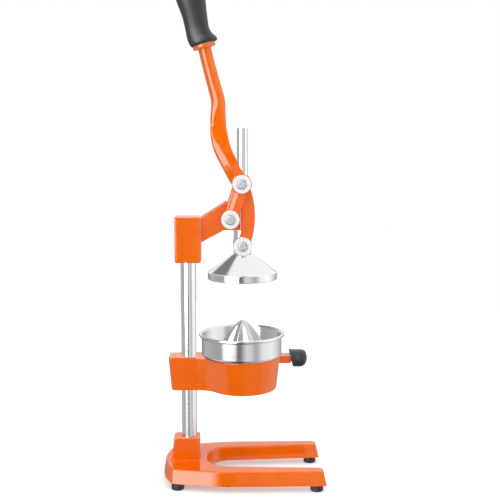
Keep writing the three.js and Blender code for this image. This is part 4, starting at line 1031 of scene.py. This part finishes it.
for name, low, high in [
    ("guide_bush_lower", hub_low_z, hub_low_z + lower_bush),
    ("guide_bush_upper", hub_top_z - upper_bush, hub_top_z),
]:
    bore = rod_radius + fit
    bush = turned(name + "_turned", [
        (bore, low, 0.4), (bush_radius, low, 0.3), (bush_radius, high, 0.3), (bore, high, 0.5),
    ], bronze, (rod_x, 0))
    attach(bush, "frame")
    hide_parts(name)

# The press: a ground rod that slides in the hub, a turned collar that takes the links, and a bell spun
# from thick stainless sheet, drawn on to the rod's end by a screw and washer.
rod_low_z, rod_top_z = 300.858, 463.008
bell_screw_tip_z = rod_low_z + 16
lower_x, lower_z = -1, 313.108
screw_radius, screw_head_radius, screw_head = 4, 5.7, 4.4
# What is left of a cap screw's head under its socket
head_floor = 1.8

rod = turned("ground_rod", [
    (0, rod_low_z, 0), (rod_radius, rod_low_z, 0.4), (rod_radius, rod_top_z, 0.9), (0, rod_top_z, 0),
], ground_chrome, (rod_x, 0), steps=96, arc=4)
bored(rod, [upright(rod_x, rod_low_z - overrun, bell_screw_tip_z + fit, screw_radius + fit, 48)])
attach(rod, "press")
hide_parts("press_rod")

collar_radius, collar_top_z = 11.4, hub_low_z - 0.5
lug_radius, lug_reach = 9, 13.7
collar_screw_z = (lower_z + collar_top_z) / 2
collar = turned("turned_collar", [
    (0, rod_low_z, 0), (collar_radius, rod_low_z, 0.6), (collar_radius, collar_top_z, 1.2),
    (0, collar_top_z, 0),
], ground_chrome, (rod_x, 0), steps=96, arc=4)
lugs = turned("lugs", [
    (0, -lug_reach, 0), (lug_radius, -lug_reach, 0.6), (lug_radius, lug_reach, 0.6), (0, lug_reach, 0),
], ground_chrome, (lower_x, lower_z), steps=96, axis="Y", arc=4)
combine(collar, [lugs], "UNION")
bored(collar, [
    upright(rod_x, rod_low_z - overrun, collar_top_z + overrun, rod_radius + fit),
    crossbar(lower_x, lower_z, lug_reach + overrun, screw_radius + fit, 48),
    lengthwise(rod_x, rod_x + 15, collar_screw_z, set_screw_radius + fit, 32),
])
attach(collar, "press")
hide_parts("press_collar")

set_screw(
    "collar_screw", "collar_set_screw", "press", rod_x + rod_radius + fit, rod_x + 12,
    (rod_x + 9.5, rod_x + 14), collar_screw_z,
)

# Buffed stainless: bright, slightly soft reflections, with the faintest spinning lines, drawn 0.9 mm apart
buffed_steel = grained_finish(
    "buffed_steel", ["#E0E0E2"], [0.1, 0.17], grain=0.9, relief=0.0015, stretch=(0.03, 0.03, 1),
    contrast=(0.3, 0.7),
)

bell_top_z, bell_low_z = rod_low_z - gap, 268.408
bell_sheet, bell_radius = 2, 45.2
bell_inside, bell_hole = bell_radius - bell_sheet, screw_radius + fit
bell = turned("spun_bell", [
    (bell_hole, bell_top_z - bell_sheet, 0), (12.4, bell_top_z - bell_sheet, 1.5), (41.2, 276.1, 1.2),
    (bell_inside, 275.4, 0.8), (bell_inside, bell_low_z, 0.6), (bell_radius, bell_low_z, 0.8),
    (bell_radius, 277.2, 1.3), (43, 277.8, 1), (13.2, bell_top_z, 1.6), (bell_hole, bell_top_z, 0),
], buffed_steel, (rod_x, 0), steps=160, arc=6)
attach(bell, "press")
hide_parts("press_bell")

washer_low_z = bell_top_z - bell_sheet - gap - washer_height
washer("bell_washer", "press", rod_x, washer_low_z, screw_radius + fit, 10)

bell_seat_z = washer_low_z - gap
head_end_z, bell_socket_radius = bell_seat_z - screw_head, 2.5
bell_screw = turned("bell_screw_capped", [
    (0, head_end_z, 0), (screw_head_radius, head_end_z, 0.7), (screw_head_radius, bell_seat_z, 0.2),
    (screw_radius, bell_seat_z, 0), (screw_radius, bell_screw_tip_z, 0.6), (0, bell_screw_tip_z, 0),
], zinc_plate, (rod_x, 0))
bored(bell_screw, [upright(rod_x, head_end_z - overrun, bell_seat_z - head_floor, bell_socket_radius, 6)])
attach(bell_screw, "press")
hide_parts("bell_screw")

# The lever: one casting. Two cheeks straddle the links, with a broad chamfer along their outer rear edge,
# and run together at the knee into a round bar that ends in a flange and a tang for the grip.
upper_x, upper_z = -2.176, 392.6
cheek_inner_y, cheek_outer_y = 20.5, 27.5
half_cheek = (cheek_outer_y - cheek_inner_y) / 2
arm_back, arm_up = 47, 173.1
upper_boss, pivot_boss = 12.6, 11.9
flange_radius, flange_half, tang_radius, tang_end = 14.5, 2.2, 5, 97
# Each place: its share of the way back and up from the upper pivot, half the width, the spread, and how
# full the chamfer is
arm_places = [
    (0, 0, 10.5, 1, 1), (0.15, 0.055, 10.5, 1, 1), (0.33, 0.147, 10.5, 1, 1),
    (0.52, 0.256, 10.8, 0.82, 0.8), (0.612, 0.366, 10.8, 0.54, 0.1), (0.635, 0.47, 9.2, 0.19, 0),
    (0.625, 0.563, 6, 0.1, 0), (0.66, 0.63, 2, 0.05, 0),
]


def arm_section(w, full):
    """A cheek's outline across its width, with a steep step and then the broad chamfer at the back."""
    t = half_cheek
    step, broad = 2.2 * full, 1 + 6.5 * full
    fall = 1 + 2 * full
    return [
        (w, 1 - t), (w, t - 1), (w - 1, t), (step + broad - w, t), (step - w, t - fall),
        (-w, t - fall - 2.8 * full), (-w, 1 - t), (1 - w, -t), (w - 1, -t),
    ]


def strap_section(w):
    """The same between the pivots, where a small step divides the chamfer."""
    t = half_cheek
    return [
        (w, 1 - t), (w, t - 1), (w - 1, t), (8.5 - w, t), (3.2 - w, 1.2), (2.4 - w, -0.1), (-w, -1),
        (-w, 1 - t), (1 - w, -t), (w - 1, -t),
    ]


def cheek_ring(x, y, z, tangent_x, tangent_z, section, side):
    """A section set square to the cheek's path."""
    length = math.hypot(tangent_x, tangent_z)
    across_x, across_z = tangent_z / length, -tangent_x / length
    return [(x + a * across_x, y + side * b, z + a * across_z) for a, b in section]


arm_path = smooth_path(arm_places, 70)
lever_shells = []
for side in (-1, 1):
    middle_y = side * (cheek_inner_y + cheek_outer_y) / 2
    rings = []
    for index, (back, up, half_width, spread, full) in enumerate(arm_path):
        before, after = arm_path[max(index - 1, 0)], arm_path[min(index + 1, len(arm_path) - 1)]
        rings.append(cheek_ring(
            upper_x - back * arm_back, spread * middle_y, upper_z + up * arm_up,
            (before[0] - after[0]) * arm_back, (after[1] - before[1]) * arm_up,
            arm_section(half_width, min(max(full, 0), 1)), side,
        ))
    lever_shells.append(loft(rings))
    lever_shells.append(loft([
        cheek_ring(x, middle_y, z, upper_x - pivot_x, upper_z - pivot_z, strap_section(half_width), side)
        for x, z, half_width in [(pivot_x, pivot_z, 9.03), (upper_x, upper_z, 9.45)]
    ]))
    ends = [side * cheek_inner_y, side * cheek_outer_y]
    for x, z, radius in [(upper_x, upper_z, upper_boss), (pivot_x, pivot_z, pivot_boss)]:
        lever_shells.append(round_bar((x, ends[0], z), (x, ends[1], z), radius, 96))

flange_x, flange_z = upper_x - arm_back, upper_z + arm_up
flange_turn = Matrix.Rotation(math.radians(-15.5), 3, "Y")


def on_flange(x, y, z):
    """A point of a piece that stands on the flange, in line with the bar."""
    return Vector((flange_x, 0, flange_z)) + flange_turn @ Vector((x, y, z))


# The bar's places: back, up, half its width, half its depth, how square its section is, and how much is
# planed off its near and far rear edges
bar_places = [
    (0.605, 0.35, 9.8, 16.4, 7, 0), (0.625, 0.41, 10.2, 12.7, 6, 0), (0.633, 0.48, 9.9, 9.7, 4.5, 0),
    (0.632, 0.53, 9.4, 9.2, 3.4, 0.3), (0.626, 0.563, 9.2, 9, 2.5, 0.35), (0.632, 0.6, 9, 8.9, 2.1, 0.3),
    (0.672, 0.653, 8.8, 8.8, 2, 0.15), (0.79, 0.77, 8.5, 8.5, 2, 0), (0.9, 0.885, 8.4, 8.4, 2, 0),
    (1, 1, 8.4, 8.4, 2, 0),
]
plane_across, plane_aside = -math.sin(math.radians(18)), math.cos(math.radians(18))
bar_path = smooth_path(bar_places, 60)
bar_rings = []
for index, (back, up, half_width, half_depth, square, planed) in enumerate(bar_path):
    before, after = bar_path[max(index - 1, 0)], bar_path[min(index + 1, len(bar_path) - 1)]
    along = Vector(((before[0] - after[0]) * arm_back, (after[1] - before[1]) * arm_up)).normalized()
    section = [(half_width * across, half_depth * aside) for across, aside in oval(square)]
    reach = max(across * plane_across + aside * plane_aside for across, aside in section) - max(planed, 0)
    ring = []
    for across, aside in section:
        over = max(across * plane_across + abs(aside) * plane_aside - reach, 0)
        across -= over * plane_across
        aside -= math.copysign(over * plane_aside, aside)
        ring.append((
            upper_x - back * arm_back + along.y * across, aside, upper_z + up * arm_up - along.x * across,
        ))
    bar_rings.append(ring)
lever_shells += [
    loft(bar_rings),
    round_bar(on_flange(0, 0, -flange_half), on_flange(0, 0, flange_half), flange_radius, 96),
    round_bar(on_flange(0, 0, 0), on_flange(0, 0, tang_end), tang_radius, 48),
]
lever = cast("lever_casting_coated", lever_shells, powder_coat, grain=0.6, easing=2)
bored(lever, [
    crossbar(pivot_x, pivot_z, cheek_outer_y + overrun, pin_radius + fit),
    crossbar(upper_x, upper_z, cheek_outer_y + overrun, screw_radius + fit, 48),
])
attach(lever, "lever")
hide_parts("lever_casting")

# The lever's grip: moulded over the tang, with a straight back, a waist at the front, a guard that flares
# at its foot, and a domed end.
grip_start, grip_length = 2.45, 118.5
# Each place: its share of the length, and its reach to the front, to the back and to the sides
grip_places = [
    (0, 15.6, 15, 13.6), (0.01, 18, 16.4, 15.2), (0.025, 18.6, 17, 15.7), (0.05, 17.5, 17.8, 15.3),
    (0.085, 14.6, 18.2, 14.2), (0.125, 12.8, 18.2, 13.6), (0.17, 12.4, 17.7, 13.4),
    (0.23, 13.3, 17.2, 13.8), (0.33, 15, 16.9, 15), (0.43, 17.2, 17.9, 16.2), (0.52, 18.2, 18.8, 16.9),
    (0.62, 18.8, 19.2, 17.2), (0.78, 18.3, 18.4, 16.6), (0.9, 16, 16, 14.5), (0.97, 11.9, 11.9, 11),
    (1, 4, 4, 3.6),
]
grip_rings = []
for along, front, back, aside in smooth_path(grip_places, 120):
    grip_rings.append([
        on_flange((front if across > 0 else back) * across, aside * out, grip_start + along * grip_length)
        for across, out in oval(2.35)
    ])
grip = new_piece("lever_grip_moulded", [loft(grip_rings)], moulded_grip)
tang_hole_end = tang_end + 2
bored(grip, [round_bar(on_flange(0, 0, 1), on_flange(0, 0, tang_hole_end), tang_radius + fit, 48)])
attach(grip, "lever")
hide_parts("lever_grip")

# The links: two flat curved castings outside the hub, one on each side, from the lever's upper pivot to
# the press collar. One is modelled on the middle plane and Geometry Nodes set it on both sides.
link_out, link_half_depth, link_half_width, link_eye, link_bow = 17, 3, 8.25, 12, 8
eye_line = Vector((upper_x - lower_x, upper_z - lower_z))
bulge_way = Vector((eye_line.y, -eye_line.x)).normalized()
bow_radius = (eye_line.length ** 2 / 4 + link_bow ** 2) / (2 * link_bow)
half_angle = math.asin(eye_line.length / 2 / bow_radius)
bow_centre = Vector((lower_x + upper_x, lower_z + upper_z)) / 2 + bulge_way * (link_bow - bow_radius)
bow_start = math.atan2(bulge_way.y, bulge_way.x) - half_angle
link_outline = []
for radius, way in [(bow_radius + link_half_width, 1), (bow_radius - link_half_width, -1)]:
    for step in range(41)[::way]:
        angle = bow_start + 2 * half_angle * step / 40
        link_outline.append(bow_centre + Vector((math.cos(angle), math.sin(angle))) * radius)
links = cast("curved_links", [
    loft([[(x, y, z) for x, z in link_outline] for y in (-link_half_depth, link_half_depth)]),
    crossbar(upper_x, upper_z, link_half_depth, link_eye, 96),
    crossbar(lower_x, lower_z, link_half_depth, link_eye, 96),
], powder_coat, grain=0.5, easing=3)
bored(links, [
    crossbar(upper_x, upper_z, link_half_depth + overrun, pin_radius + fit),
    crossbar(lower_x, lower_z, link_half_depth + overrun, pin_radius + fit),
])
set_out(links, [(0, link_out)])
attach(links, "links")
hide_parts("link_near", "link_far")

# The pivots: at each of the three, on both sides, a white nylon disc with a recess, and a zinc-plated cap
# screw with a hexagon socket that holds it.
# Turned nylon: white, slightly warm and softly glossy, with a faint mottle of about 2 mm
white_nylon = grained_finish(
    "white_nylon", ["#F7F5F5", "#F0EEEE"], [0.22, 0.36], grain=2, metallic=0, ior=1.53,
)

disc_radius, disc_depth, recess_radius, recess_depth = 11.6, 4.5, 6.5, 2.6
disc_hole, cap_socket_radius = screw_radius + fit, 2.887
# Each pivot: its name, body and place, the disc's inner face and the screw's tip
pivots = [
    ("lever", "frame", pivot_x, pivot_z, 27.75, 13.75),
    ("upper", "lever", upper_x, upper_z, 27.75, 20.5),
    ("lower", "press", lower_x, lower_z, 20.6, 7.55),
]
for name, body, x, z, inner, tip in pivots:
    outer = inner + disc_depth
    recess = outer - recess_depth
    disc = turned(name + "_discs", [
        (disc_hole, -inner, 0), (disc_radius, -inner, 0.4), (disc_radius, -outer, 0.7),
        (recess_radius, -outer, 0.3), (recess_radius, -recess, 0.3), (disc_hole, -recess, 0),
    ], white_nylon, axis="Y", arc=4)
    set_out(disc, [(x, 0)], z, math.pi)
    seat = recess + gap
    top = seat + screw_head
    screw = turned(name + "_screws", [
        (0, -tip, 0), (screw_radius, -tip, 0.6), (screw_radius, -seat, 0), (screw_head_radius, -seat, 0.2),
        (screw_head_radius, -top, 0.9), (0, -top, 0),
    ], zinc_plate, axis="Y", arc=6)
    bored(screw, [round_bar((0, -seat - head_floor, 0), (0, -top - overrun, 0), cap_socket_radius, 6)])
    set_out(screw, [(x, 0)], z, math.pi)
    for piece, kind, slot in [(disc, "disc", "white_nylon"), (screw, "screw", "zinc_steel")]:
        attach(piece, body)
        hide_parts(f"{name}_{kind}_near", f"{name}_{kind}_far")

# The rest stays as the CAD made it, plain turned pieces hidden in their bores: the lever's ground pin and
# the bronze bushes and sleeves in the eyes of the links.
for name, finish in [
    ("lever_pin", ground_chrome), ("link_bush_near", bronze), ("link_bush_far", bronze),
    ("collar_sleeve_near", bronze), ("collar_sleeve_far", bronze),
]:
    node = frame["nodes"][name]
    if node.data.materials:
        node.data.materials[0] = finish
    else:
        node.data.materials.append(finish)

# The steel mirrors the surround alone, as in a retouched picture: the pieces stay out of each other's
# reflections, except the socket in the base and the collar in the bell's neck.
for piece in bpy.context.scene.objects:
    if piece.type == "MESH":
        piece.visible_glossy = piece in (base, collar)
